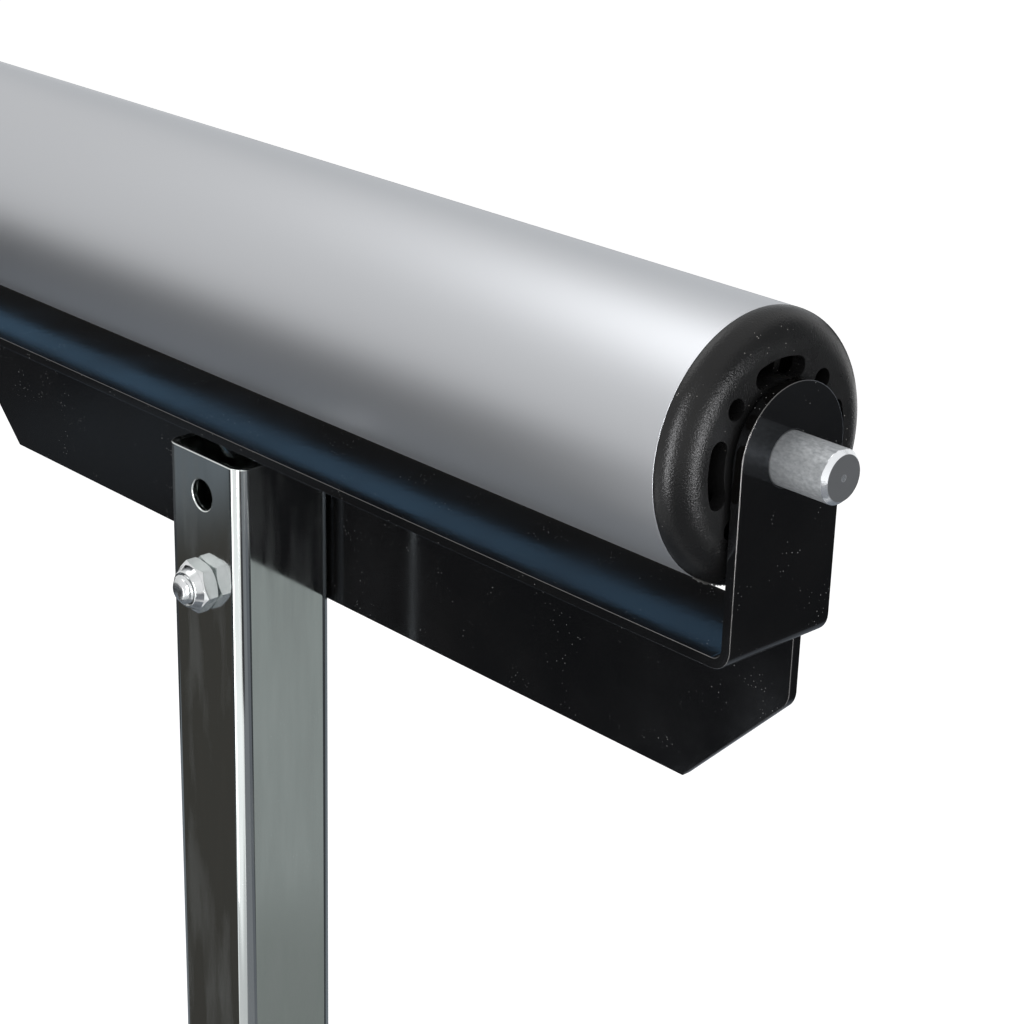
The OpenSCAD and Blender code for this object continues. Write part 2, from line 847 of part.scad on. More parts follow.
// local z points along the bolts of one pair of legs
module at_leg_bolts() {
    for (z = [bolt_low, bolt_low + bolt_pitch]) {
        translate([0, 0, z]) rotate([0, 90, 0]) children();
        translate([0, 0, z + bolt_step]) rotate([90, 0, 0]) children();
    }
}

module leg_bolts() {
    color("#a9aeb0") at_leg_bolts() translate([0, 0, washer_out])
        bolt(bolt_d, bolt_af, bolt_head_h, leg_bolt_len);
}

module leg_washers() {
    color("#a9aeb0") at_leg_bolts() {
        translate([0, 0, grip_half]) washer(washer_d, bolt_hole_d);
        translate([0, 0, -washer_out]) washer(washer_d, bolt_hole_d);
    }
}

module leg_nuts() {
    color("#b4b9ba") at_leg_bolts() translate([0, 0, -washer_out]) rotate([180, 0, 0])
        lock_nut(bolt_d, bolt_af, nut_hex_h, nut_collar_h);
}

// feet

module at_feet() {
    for (turn = leg_angles) rotate([0, 0, turn]) translate([foot_r, 0, 0]) children();
}

module foot(turn) {
    color("#1a1a1b") rotate([0, 0, turn]) translate([foot_r, 0, 0]) difference() {
        cylinder(d1 = foot_d, d2 = foot_top_d, h = foot_h);
        translate([0, 0, -cut]) cylinder(d = foot_sink_d, h = foot_sink + cut);
        translate([0, 0, -cut]) cylinder(d = foot_screw_d + 2 * run_gap, h = foot_h + 2 * cut);
    }
}

module foot_screws() {
    shank = foot_h - foot_sink + leg_t + foot_nut_h + foot_thread_out;
    color("#a9aeb0") at_feet() {
        translate([0, 0, foot_sink - foot_head_h]) cylinder(d = foot_head_d, h = foot_head_h);
        translate([0, 0, foot_sink]) cylinder(d = foot_screw_d, h = shank);
    }
}

module foot_nuts() {
    color("#b4b9ba") at_feet() translate([0, 0, foot_h + leg_t]) difference() {
        hexagon(foot_nut_af, foot_nut_h);
        translate([0, 0, -cut])
            cylinder(d = foot_screw_d + 2 * seat_gap, h = foot_nut_h + 2 * cut);
    }
}

head_bracket();
roller_tube();
end_cap(1);  // end_cap_right
end_cap(-1);  // end_cap_left
axle();
axle_clips();
spacer_bushes();
bearing_outer_rings();
bearing_inner_rings();
bearing_shields();
bearing_balls(1);  // bearing_balls_right
bearing_balls(-1);  // bearing_balls_left
bearing_cage(1);  // bearing_cage_right
bearing_cage(-1);  // bearing_cage_left
head_bolt();
head_nut();
head_washer();
inner_column();
inner_glide();
guide_sleeve();
outer_column();
outer_plug();
clamp_boss();
clamp_pad();
clamp_screw();
clamp_knob();
leg(0, bolt_low);  // leg_right
leg(90, bolt_low + bolt_step);  // leg_rear
leg(180, bolt_low);  // leg_left
leg(270, bolt_low + bolt_step);  // leg_front
leg_bolts();
leg_washers();
leg_nuts();
foot(0);  // foot_right
foot(90);  // foot_rear
foot(180);  // foot_left
foot(270);  // foot_front
foot_screws();
foot_nuts();
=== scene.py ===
import math

import bpy
from mathutils import Matrix, Vector


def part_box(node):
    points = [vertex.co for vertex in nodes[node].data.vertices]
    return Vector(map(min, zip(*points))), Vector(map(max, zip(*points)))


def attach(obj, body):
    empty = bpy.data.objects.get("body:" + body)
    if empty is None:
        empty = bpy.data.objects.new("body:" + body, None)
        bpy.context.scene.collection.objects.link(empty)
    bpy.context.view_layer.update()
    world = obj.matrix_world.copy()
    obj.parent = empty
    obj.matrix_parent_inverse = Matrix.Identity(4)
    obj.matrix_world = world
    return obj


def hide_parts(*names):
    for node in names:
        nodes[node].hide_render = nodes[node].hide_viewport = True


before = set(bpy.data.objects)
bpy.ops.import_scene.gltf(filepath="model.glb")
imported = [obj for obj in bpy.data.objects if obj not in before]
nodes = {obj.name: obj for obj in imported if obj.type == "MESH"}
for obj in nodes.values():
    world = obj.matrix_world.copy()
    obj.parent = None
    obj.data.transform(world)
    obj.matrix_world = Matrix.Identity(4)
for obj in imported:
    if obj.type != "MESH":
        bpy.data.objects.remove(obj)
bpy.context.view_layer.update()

# Camera. It stands in front of the roller's right end, a little above the roller, and looks
# down along it to the left through a long lens.
camera_place = Vector((0.4795, -0.3602, 1.0231))
camera_yaw, camera_pitch, camera_roll = 0.760, 0.384, 0.028
ahead = Vector((-math.cos(camera_yaw) * math.cos(camera_pitch),
                math.sin(camera_yaw) * math.cos(camera_pitch), -math.sin(camera_pitch)))
level = ahead.cross(Vector((0, 0, 1))).normalized()
above = level.cross(ahead)
right = math.cos(camera_roll) * level + math.sin(camera_roll) * above
upward = math.cos(camera_roll) * above - math.sin(camera_roll) * level
camera = bpy.data.objects.new("camera", bpy.data.cameras.new("camera"))
camera.data.sensor_width = 36
camera.data.lens = 85.43
camera.data.clip_start = 0.01
bpy.context.scene.collection.objects.link(camera)
camera.matrix_world = Matrix.Translation(camera_place) @ Matrix(
    (right, upward, -ahead)).transposed().to_4x4()
bpy.context.scene.camera = camera

# Studio. A pale floor in a white surround, a large soft lamp high up on the left, a low strip
# lamp in front and a low lamp on the right. Cards that show in gloss only give the paint, the
# zinc and the aluminium the dark and bright things that they mirror in the photograph.
bpy.context.scene.view_settings.view_transform = "Standard"
surround_light = 0.62
floor_white = 0.8
floor_glow = 0.56


def start_material(name):
    material = bpy.data.materials.new(name)
    material.use_nodes = True
    material.node_tree.nodes.clear()
    return material, material.node_tree


def add(tree, kind, sockets=(), **settings):
    """Adds a node with its settings. Each socket gets a value or another node's output."""
    node = tree.nodes.new(kind)
    for setting, value in settings.items():
        setattr(node, setting, value)
    for socket, value in dict(sockets).items():
        if isinstance(value, bpy.types.NodeSocket):
            tree.links.new(value, node.inputs[socket])
        else:
            node.inputs[socket].default_value = value
    return node


def seen_directly(tree):
    """A value that is 1 for what the camera sees, also by gloss or through glass."""
    path = add(tree, "ShaderNodeLightPath")
    total = path.outputs["Is Camera Ray"]
    for ray in ("Is Glossy Ray", "Is Transmission Ray"):
        total = add(tree, "ShaderNodeMath", {0: total, 1: path.outputs[ray]}, operation="ADD",
                    use_clamp=True).outputs[0]
    return total


world = bpy.data.worlds.new("surround")
bpy.context.scene.world = world
world.use_nodes = True
tree = world.node_tree
strength = add(tree, "ShaderNodeMapRange",
               {"Value": seen_directly(tree), "To Min": surround_light, "To Max": 1})
background = tree.nodes["Background"]
background.inputs["Color"].default_value = (1, 1, 1, 1)
tree.links.new(strength.outputs["Result"], background.inputs["Strength"])

bpy.ops.object.select_all(action="DESELECT")
bpy.ops.mesh.primitive_plane_add(size=24)
floor = bpy.context.object
floor.name = "floor"
floor_paint, tree = start_material("floor_paint")
matt = add(tree, "ShaderNodeBsdfDiffuse", {"Color": (floor_white, floor_white, floor_white, 1)})
lit = add(tree, "ShaderNodeMath", {0: seen_directly(tree), 1: floor_glow}, operation="MULTIPLY")
glow = add(tree, "ShaderNodeEmission", {"Color": (1, 1, 1, 1), "Strength": lit.outputs[0]})
both = add(tree, "ShaderNodeAddShader", {0: matt.outputs[0], 1: glow.outputs[0]})
add(tree, "ShaderNodeOutputMaterial", {"Surface": both.outputs[0]})
floor.data.materials.append(floor_paint)


def lamp(name, place, aim, width, height, brightness):
    """A soft rectangular lamp of that brightness, where 1 is the surround's white."""
    light = bpy.data.objects.new(name, bpy.data.lights.new(name, "AREA"))
    light.data.shape = "RECTANGLE"
    light.data.size = width
    light.data.size_y = height
    light.data.energy = brightness * math.pi * width * height
    light.visible_camera = False
    bpy.context.scene.collection.objects.link(light)
    light.matrix_world = Matrix.Translation(place) @ (
        Vector(aim) - Vector(place)).to_track_quat("-Z", "Y").to_matrix().to_4x4()


lamp("lamp_over", (-0.70, -0.375, 2.27), (-0.70, -0.3751, 0), 0.90, 1.45, 2.2)
lamp("lamp_strip", (-0.43, -1.07, 0.31), (0, 0, 0.5), 0.22, 0.60, 2.4)
lamp("lamp_low_right", (1.84, 0.67, 0.34), (0, 0, 0.6), 0.35, 0.60, 2.4)


def card(name, middle, half_x, half_y, colour, fade=0.06, tilt=0, turn=0):
    """A flat card of those half sizes that shows in gloss only, with edges that fade out."""
    bpy.ops.object.select_all(action="DESELECT")
    bpy.ops.mesh.primitive_plane_add(size=2, location=middle,
                                     rotation=(math.radians(tilt), 0, math.radians(turn)))
    piece = bpy.context.object
    piece.name = name
    piece.scale = (half_x, half_y, 1)
    material, tree = start_material(name)
    place = add(tree, "ShaderNodeTexCoord")
    split = add(tree, "ShaderNodeSeparateXYZ", {0: place.outputs["Object"]})
    edges = []
    for axis_name, half in (("X", half_x), ("Y", half_y)):
        off = add(tree, "ShaderNodeMath", {0: split.outputs[axis_name]}, operation="ABSOLUTE")
        edge = add(tree, "ShaderNodeMapRange",
                   {"Value": off.outputs[0], "From Min": 1, "From Max": 1 - fade / half},
                   interpolation_type="SMOOTHSTEP")
        edges.append(edge.outputs["Result"])
    cover = add(tree, "ShaderNodeMath", {0: edges[0], 1: edges[1]}, operation="MULTIPLY")
    clear = add(tree, "ShaderNodeBsdfTransparent")
    face = add(tree, "ShaderNodeEmission", {"Color": (*colour, 1)})
    mix = add(tree, "ShaderNodeMixShader",
              {"Fac": cover.outputs[0], 1: clear.outputs[0], 2: face.outputs[0]})
    add(tree, "ShaderNodeOutputMaterial", {"Surface": mix.outputs[0]})
    piece.data.materials.append(material)
    piece.visible_camera = False
    piece.visible_diffuse = False
    piece.visible_transmission = False
    piece.visible_shadow = False


# The low cards lie just above the floor, one over another, and the tilted ones stand upright.
dark = (0.050, 0.054, 0.060)
card("card_left", (-2.35, -0.2, 0.004), 1.63, 2.6, dark)
card("card_under", (-0.50, 0.60, 0.006), 0.90, 1.50, (0.19, 0.21, 0.235))
card("card_bright", (0.05, -1.25, 0.008), 0.78, 0.70, (1.25, 1.27, 1.28))
card("card_near", (0.05, -0.86, 0.010), 0.72, 0.27, (0.70, 0.71, 0.72), 0.16)
card("card_left_front", (-1.08, -0.79, 0.010), 0.78, 0.17, (0.056, 0.053, 0.048), turn=36)
card("card_haze", (-1.75, -1.20, 0.012), 0.32, 0.30, (0.15, 0.17, 0.19), 0.25)
card("card_front", (1.46, -0.65, 0.012), 1.00, 0.50, (0.23, 0.24, 0.26), turn=-24)
card("card_beside", (1.35, 0.06, 0.010), 0.95, 0.42, (0.15, 0.16, 0.18))
card("card_camera", (1.53, -1.29, 0.016), 0.60, 0.30, (0.05, 0.05, 0.055), 0.10, turn=-40)
card("card_right", (2.0, 2.0, 0.004), 1.75, 1.60, dark)
card("card_side", (1.13, 0.88, 0.014), 0.56, 0.17, (0.325, 0.352, 0.346), turn=38)
card("card_side_near", (0.75, 0.585, 0.018), 0.20, 0.16, (0.245, 0.266, 0.257), 0.14, turn=38)
card("card_room", (1.75, 1.45, 1.25), 1.55, 1.25, (0.20, 0.21, 0.22), 0.30, tilt=90, turn=-45)
card("card_back", (-1.90, 1.60, 1.70), 1.90, 1.00, (0.72, 0.74, 0.76), 0.30, tilt=90)
card("card_behind", (-0.07, 0.050, 0.7990), 0.21, 0.0385, (0.03, 0.03, 0.03), 0.0015, tilt=90)
card("card_blue", (-0.07, 0.0505, 0.8425), 0.21, 0.008, (0.16, 0.30, 0.46), 0.0015, tilt=90)
card("card_gap", (0.05, 0.0510, 0.8625), 0.12, 0.0120, (0.02, 0.02, 0.02), 0.0015, tilt=90)
card("card_glint_left", (0.60, -1.06, 0.92), 0.10, 0.60, (23, 23, 23.5), 0.03, tilt=90, turn=21)
card("card_glint_right", (1.35, 0.34, 0.62), 0.09, 0.28, (25, 25, 25.5), 0.03, tilt=90, turn=-72)

# Finishes. Metal, paint and plastic are never even: smudges lie in patches, grain and
# orange peel roughen the surface, and dust sits on it in specks.
speck_cells = 900
speck_clusters = 110
grain_group = bpy.data.node_groups.new("surface_grain", "ShaderNodeTree")
for socket, kind, value in (("Patch Size", "NodeSocketFloat", 60),
                            ("Grain Size", "NodeSocketFloat", 900),
                            ("Stretch", "NodeSocketVector", (1, 1, 1))):
    made = grain_group.interface.new_socket(socket, in_out="INPUT", socket_type=kind)
    made.default_value = value
for socket in ("Patches", "Grain", "Specks"):
    grain_group.interface.new_socket(socket, in_out="OUTPUT", socket_type="NodeSocketFloat")
group_in = add(grain_group, "NodeGroupInput")
group_out = add(grain_group, "NodeGroupOutput")
place = add(grain_group, "ShaderNodeTexCoord").outputs["Object"]
stretched = add(grain_group, "ShaderNodeVectorMath", {0: place, 1: group_in.outputs["Stretch"]},
                operation="MULTIPLY").outputs[0]
for socket, size, detail, low, high in (("Patches", "Patch Size", 5, 0.32, 0.68),
                                        ("Grain", "Grain Size", 3, 0.25, 0.75)):
    noise = add(grain_group, "ShaderNodeTexNoise", {
        "Vector": stretched, "Scale": group_in.outputs[size], "Detail": detail})
    span = add(grain_group, "ShaderNodeMapRange", {
        "Value": noise.outputs["Fac"], "From Min": low, "From Max": high})
    grain_group.links.new(span.outputs["Result"], group_out.inputs[socket])
cells = add(grain_group, "ShaderNodeTexVoronoi", {"Vector": place, "Scale": speck_cells})
lonely = add(grain_group, "ShaderNodeTexNoise", {
    "Vector": place, "Scale": speck_clusters, "Detail": 1})
near = add(grain_group, "ShaderNodeMapRange", {
    "Value": cells.outputs["Distance"], "From Min": 0.13, "From Max": 0.06})
few = add(grain_group, "ShaderNodeMapRange", {
    "Value": lonely.outputs["Fac"], "From Min": 0.54, "From Max": 0.66})
specks = add(grain_group, "ShaderNodeMath", {
    0: near.outputs["Result"], 1: few.outputs["Result"]}, operation="MULTIPLY")
grain_group.links.new(specks.outputs[0], group_out.inputs["Specks"])


def blend(tree, kind, factor, start, end):
    """The output of a mix that goes from start to end with the factor."""
    mix = add(tree, "ShaderNodeMix", {"Factor": factor, "A": start, "B": end}, data_type=kind)
    return mix.outputs["Result"]


def finish(name, colour, patch_colour, metallic, rough, bump, patch=60, grain=900,
           stretch=(1, 1, 1), speck=None, tint=(1, 1, 1), gloss=0.5, drawn=0, film=0):
    """A finish of two close colours in patches. Rough has its values outside and inside the
    patches, bump the strength and depth of the grain. A film dulls the patches' middles, and a
    drawn surface stretches its highlights round the X axis."""
    material, tree = start_material(name)
    surface = add(tree, "ShaderNodeGroup", {
        "Patch Size": patch, "Grain Size": grain, "Stretch": stretch}, node_tree=grain_group)
    patches = surface.outputs["Patches"]
    base = blend(tree, "RGBA", patches, (*colour, 1), (*patch_colour, 1))
    if speck:
        base = blend(tree, "RGBA", surface.outputs["Specks"], base, (*speck, 1))
    worn = add(tree, "ShaderNodeMapRange", {
        "Value": patches, "To Min": rough[0], "To Max": rough[1]})
    relief = add(tree, "ShaderNodeBump", {
        "Strength": bump[0], "Distance": bump[1], "Height": surface.outputs["Grain"]})
    shader = add(tree, "ShaderNodeBsdfPrincipled", {
        "Base Color": base, "Metallic": metallic, "Roughness": worn.outputs["Result"],
        "Normal": relief.outputs["Normal"], "Specular Tint": (*tint, 1),
        "Specular IOR Level": gloss, "Anisotropic": drawn})
    if film:
        clouded = add(tree, "ShaderNodeMapRange", {
            "Value": patches, "From Min": 0.5, "To Min": metallic, "To Max": metallic - film})
        tree.links.new(clouded.outputs["Result"], shader.inputs["Metallic"])
    if drawn:
        round_x = add(tree, "ShaderNodeTangent", direction_type="RADIAL", axis="X")
        tree.links.new(round_x.outputs[0], shader.inputs["Tangent"])
    add(tree, "ShaderNodeOutputMaterial", {"Surface": shader.outputs[0]})
    return material


# Head bracket. It is one strip of 2.5 mm sheet steel: the ears that hold the axle are folded
# up at its ends, and the flange that is bolted to the column is folded down behind it. It is
# dipped in gloss black paint, and its narrow edge faces get a lighter, metallic colour as a
# painted highlight along the edges.
sheet = 0.0025
fold = 0.005
bracket_low, bracket_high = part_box("head_bracket")
axle_low, axle_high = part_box("axle")
axis = (axle_low + axle_high) / 2
ear_mid = (bracket_low.y + bracket_high.y) / 2
ear_r = (bracket_high.y - bracket_low.y) / 2
flange_half = 0.1715
relief_w, relief_past_fold = 0.0015, 0.0003
flange_trim = 0.030
flange_corner = 0.005
strip_drop = 0.0448
strip_z = axis.z - strip_drop + sheet / 2
ear_x = bracket_high.x - axis.x - sheet / 2
flange_y = bracket_high.y - sheet / 2
relief_y = bracket_high.y - fold - relief_past_fold
hole_play = 0.0005
bolt_r = 0.004
column_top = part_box("inner_column")[1].z
nut_low, nut_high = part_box("head_nut")
bolt_z = (nut_low.z + nut_high.z) / 2
spare_drop = 0.011
spare_z = column_top - spare_drop
# The second width picks out the narrow edge faces that get a painted highlight.
bracket_edge, highlight_edge_width = 0.0004, 0.00026
almost_full = 0.9999


def edit(piece, kind):
    """Opens a piece in edit mode with nothing selected."""
    bpy.ops.object.select_all(action="DESELECT")
    piece.select_set(True)
    bpy.context.view_layer.objects.active = piece
    bpy.ops.object.mode_set(mode="EDIT")
    bpy.ops.mesh.select_mode(type=kind)
    bpy.ops.mesh.select_all(action="DESELECT")


def done():
    bpy.ops.object.mode_set(mode="OBJECT")


def pick(piece, kind, test):
    """Selects the vertices, edges or faces whose middle passes the test, in edit mode."""
    edit(piece, kind)
    done()
    vertices = piece.data.vertices
    if kind == "VERT":
        for vertex in vertices:
            vertex.select = bool(test(vertex.co))
    else:
        for element in piece.data.edges if kind == "EDGE" else piece.data.polygons:
            corners = [vertices[i].co for i in element.vertices]
            element.select = bool(test(sum(corners, Vector()) / len(corners)))
    bpy.ops.object.mode_set(mode="EDIT")


def like(a, b, slack=0.00002):
    return abs(a - b) < slack


def alone(piece):
    """Selects one piece and nothing else."""
    bpy.ops.object.select_all(action="DESELECT")
    piece.select_set(True)
    bpy.context.view_layer.objects.active = piece


def modify(piece, kind, **settings):
    """Adds a modifier, sets it and applies it."""
    alone(piece)
    modifier = piece.modifiers.new(kind.lower(), kind)
    for setting, value in settings.items():
        setattr(modifier, setting, value)
    bpy.ops.object.modifier_apply(modifier=modifier.name)


def new_piece(name, primitive, scale=(1, 1, 1), **settings):
    """Adds a primitive as a piece of its own, with its place and scale in its mesh."""
    bpy.ops.object.select_all(action="DESELECT")
    primitive(**settings)
    piece = bpy.context.object
    piece.name = name
    piece.scale = scale
    bpy.ops.object.transform_apply(location=True, rotation=True, scale=True)
    return piece


def facing(start, end):
    return (Vector(end) - Vector(start)).to_track_quat("Z", "Y").to_euler()


def drill(piece, radius, start, end, sides=64):
    """Cuts a round hole from one point to another."""
    start, end = Vector(start), Vector(end)
    bit = new_piece("bit", bpy.ops.mesh.primitive_cylinder_add, vertices=sides, radius=radius,
                    depth=(end - start).length, location=(start + end) / 2,
                    rotation=facing(start, end))
    carve(piece, bit)


def carve(piece, tool, operation="DIFFERENCE"):
    """Cuts one piece with another, or joins it on, and removes the tool."""
    modify(piece, "BOOLEAN", operation=operation, object=tool, solver="EXACT")
    bpy.data.objects.remove(tool)


def ease(piece, width, segments=2, angle=32):
    """Rounds the sharp edges."""
    modify(piece, "BEVEL", width=width, segments=segments, limit_method="ANGLE",
           angle_limit=math.radians(angle))


def mark_highlight_edges(piece, width):
    """Marks the narrow faces along the edges, which get the painted highlight colour."""
    mark = piece.data.attributes.new("edge_highlight_mask", "FLOAT", "FACE")
    for face in piece.data.polygons:
        spots = [piece.data.vertices[i].co for i in face.vertices]
        longest = max((a - b).length for a, b in zip(spots, spots[1:] + spots[:1]))
        mark.data[face.index].value = 1.0 if face.area / longest < width else 0.0


def settle(piece, material, body, slot_name, *replaced):
    """Smooths a finished piece with its flat faces kept flat, gives it its material and its
    body, and hides the nodes that it stands for."""
    alone(piece)
    bpy.ops.object.shade_smooth_by_angle(angle=math.radians(38))
    modify(piece, "WEIGHTED_NORMAL", mode="FACE_AREA", weight=90, keep_sharp=True)
    piece.data.materials.clear()
    piece.data.materials.append(material)
    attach(piece, body)
    if replaced:
        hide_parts(*replaced)


# A lighter, metallic colour for the bracket's narrow edge faces: a painted highlight along the
# edges.
edge_highlight_colour = (0.150, 0.146, 0.144)
# The paint's reflections are tinted blue: a painted bluish reflection of the room.
black_paint = finish("black_paint", (0.0052, 0.0050, 0.0050), (0.0075, 0.0070, 0.0066),
                     metallic=0, rough=(0.08, 0.14), bump=(0.20, 0.00003), patch=45, grain=420,
                     speck=(0.45, 0.45, 0.45), tint=(0.80, 0.88, 1.0))
# The marked edge faces take that colour and turn metallic, which paints a highlight on them.
tree = black_paint.node_tree
shader = tree.nodes["Principled BSDF"]
edge_sheen = add(tree, "ShaderNodeAttribute", attribute_name="edge_highlight_mask").outputs["Fac"]
painted = shader.inputs["Base Color"].links[0].from_socket
tree.links.new(blend(tree, "RGBA", edge_sheen, painted, (*edge_highlight_colour, 1)), shader.inputs["Base Color"])
tree.links.new(edge_sheen, shader.inputs["Metallic"])
bracket = new_piece("bracket", bpy.ops.mesh.primitive_plane_add, size=2,
                    location=(axis.x, ear_mid, strip_z), scale=(ear_x, ear_r, 1))
pick(bracket, "EDGE", lambda c: like(abs(c.x - axis.x), ear_x))
bpy.ops.mesh.extrude_region_move(
    TRANSFORM_OT_translate={"value": (0, 0, bracket_high.z - strip_z)})
done()
pick(bracket, "VERT", lambda c: like(c.z, bracket_high.z))
bpy.ops.mesh.bevel(offset=ear_r * almost_full, segments=20, affect="VERTICES")
done()
for cut_x in (flange_half, flange_half + relief_w):
    for side in (-1, 1):
        pick(bracket, "FACE", lambda c: like(c.z, strip_z))
        bpy.ops.mesh.bisect(plane_co=(axis.x + side * cut_x, 0, 0), plane_no=(1, 0, 0))
        done()
for cut_y in (relief_y, flange_y):
    pick(bracket, "FACE", lambda c: like(c.z, strip_z))
    bpy.ops.mesh.bisect(plane_co=(0, cut_y, 0), plane_no=(0, 1, 0))
    done()
pick(bracket, "FACE", lambda c: like(c.z, strip_z) and (
    (c.y > flange_y and abs(c.x - axis.x) < flange_half + relief_w)
    or (c.y > relief_y and flange_half < abs(c.x - axis.x) < flange_half + relief_w)))
bpy.ops.mesh.delete(type="FACE")
done()
pick(bracket, "EDGE", lambda c: like(c.z, strip_z) and like(c.y, flange_y) and like(c.x, axis.x))
bpy.ops.mesh.extrude_region_move(
    TRANSFORM_OT_translate={"value": (0, 0, bracket_low.z - strip_z)})
done()
pick(bracket, "VERT", lambda c: like(c.z, bracket_low.z))
bpy.ops.mesh.bevel(offset=flange_trim, segments=1, affect="VERTICES")
done()
pick(bracket, "VERT", lambda c: like(c.z, bracket_low.z + flange_trim, 0.0003)
     and like(c.y, flange_y))
bpy.ops.mesh.bevel(offset=flange_corner * math.tan(math.radians(22.5)), segments=6,
                   affect="VERTICES")
done()
pick(bracket, "EDGE", lambda c: like(c.z, strip_z)
     and (like(abs(c.x - axis.x), ear_x) or (like(c.y, flange_y) and like(c.x, axis.x))))
bpy.ops.mesh.bevel(offset=fold - sheet / 2, segments=8, affect="EDGES")
bpy.ops.mesh.select_all(action="SELECT")
bpy.ops.mesh.remove_doubles(threshold=0.00001)
bpy.ops.mesh.normals_make_consistent(inside=False)
done()
modify(bracket, "SOLIDIFY", thickness=sheet, offset=0, use_even_offset=True)
drill(bracket, (axle_high.z - axle_low.z + hole_play) / 2,
      (bracket_low.x - fold, axis.y, axis.z), (bracket_high.x + fold, axis.y, axis.z), 96)
for z in (bolt_z, spare_z):
    drill(bracket, bolt_r + hole_play / 2, (0, flange_y - fold, z), (0, flange_y + fold, z))
ease(bracket, bracket_edge, 3)
# Marks the narrow edge faces for the painted highlight.
mark_highlight_edges(bracket, highlight_edge_width)
settle(bracket, black_paint, "head", "black_paint", "head_bracket")

# Roller tube. Drawn aluminium, ground and satin anodised, with its ends just broken.
tube_low, tube_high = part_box("roller_tube")
tube_r = (tube_high.z - tube_low.z) / 2
tube_wall = 0.002
roller_aluminium = finish("roller_aluminium", (0.450, 0.460, 0.478), (0.470, 0.480, 0.498),
                          metallic=1, rough=(0.37, 0.40), bump=(0.05, 0.00002), patch=14,
                          grain=1500, stretch=(0.25, 1, 1), drawn=0.7)


def turned(name, outline, start, end, steps=96):
    """A piece turned on the lathe: its outline is (radius, height) points from start to end."""
    piece = new_piece(name, bpy.ops.mesh.primitive_plane_add, size=0.001)
    edit(piece, "VERT")
    bpy.ops.mesh.select_all(action="SELECT")
    bpy.ops.mesh.merge(type="CENTER")
    last = (0, 0)
    for radius, height in outline:
        step = (radius - last[0], 0, height - last[1])
        if last == (0, 0):
            bpy.ops.transform.translate(value=step)
        else:
            bpy.ops.mesh.extrude_vertices_move(TRANSFORM_OT_translate={"value": step})
        last = (radius, height)
    bpy.ops.mesh.select_all(action="SELECT")
    bpy.ops.mesh.spin(steps=steps, angle=math.radians(360), center=(0, 0, 0), axis=(0, 0, 1))
    bpy.ops.mesh.select_all(action="SELECT")
    bpy.ops.mesh.remove_doubles(threshold=0.000002)
    bpy.ops.mesh.normals_make_consistent(inside=False)
    done()
    piece.rotation_euler = facing(start, end)
    piece.location = start
    alone(piece)
    bpy.ops.object.transform_apply(location=True, rotation=True, scale=True)
    return piece


def arc(radius, height, size, first, last, count):
    """Points of an outline on an arc round a point, with angles from the radius upwards."""
    angles = [math.radians(first + (last - first) * i / count) for i in range(count + 1)]
    return [(radius + size * math.cos(a), height + size * math.sin(a)) for a in angles]


tube_len = tube_high.x - tube_low.x
break_r = 0.00012
tube = turned("tube", [
    (tube_r - tube_wall, 0), (tube_r - break_r, 0),
    *arc(tube_r - break_r, break_r, break_r, -60, 0, 3),
    *arc(tube_r - break_r, tube_len - break_r, break_r, 0, 60, 3),
    (tube_r - break_r, tube_len), (tube_r - tube_wall, tube_len), (tube_r - tube_wall, 0)],
    (tube_low.x, axis.y, axis.z), (tube_high.x, axis.y, axis.z), 240)
settle(tube, roller_aluminium, "roller", "roller_aluminium", "roller_tube")

# End caps. Each is one moulding in black plastic with a fine leather grain: a fat round rim,
# a flat face with four curved slots and four round holes, twelve ribs behind it, a hub for
# the bearing, and a skirt that is pressed into the tube.
cap_out = 0.0065
rim_across = 0.0080
rim_deep = 0.0061
rim_root = 0.0006
cap_edge = 0.00022
cap_web = 0.0034
skirt_r, skirt_wall, skirt_len = 0.02797, 0.0025, 0.022
bearing_r, bearing_w, hub_wall = 0.014, 0.008, 0.002
cap_opening = 0.00948
slot_count, slot_span, slot_phase = 4, 32, 2
slot_ring_r, slot_r = 0.0185, 0.0024
rib_count, rib_phase = 12, 17
rib_t = 0.0018
cap_plastic = finish("cap_plastic", (0.0105, 0.0105, 0.0108), (0.0150, 0.0150, 0.0153),
                     metallic=0, rough=(0.24, 0.31), bump=(0.90, 0.000045), patch=90, grain=2400,
                     speck=(0.50, 0.48, 0.46), gloss=0.26)
rim_mid = tube_r - rim_across
web_height = cap_out - cap_web
hub_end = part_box("bearing_outer_rings")[1].x - tube_high.x - bearing_w
rim = [(rim_mid + rim_across * math.cos(math.radians(a)),
        cap_out - rim_deep + rim_deep * math.sin(math.radians(a))) for a in range(-2, 91, 4)]
cap = turned("cap_right", [
    (skirt_r, -skirt_len), (skirt_r, 0), (tube_r - rim_root, 0), *rim,
    (cap_opening, cap_out), (cap_opening, hub_end + bearing_w),
    (bearing_r, hub_end + bearing_w), (bearing_r, hub_end), (bearing_r + hub_wall, hub_end),
    (bearing_r + hub_wall, web_height), (skirt_r - skirt_wall, web_height),
    (skirt_r - skirt_wall, -skirt_len), (skirt_r, -skirt_len)],
    (tube_high.x, axis.y, axis.z), (tube_high.x + 1, axis.y, axis.z), 120)


def spoke(angle, radius, height):
    """The point of the right cap at that angle from below, radius and height."""
    turn = math.radians(angle)
    return Vector((tube_high.x + height, axis.y + radius * math.sin(turn),
                   axis.z - radius * math.cos(turn)))


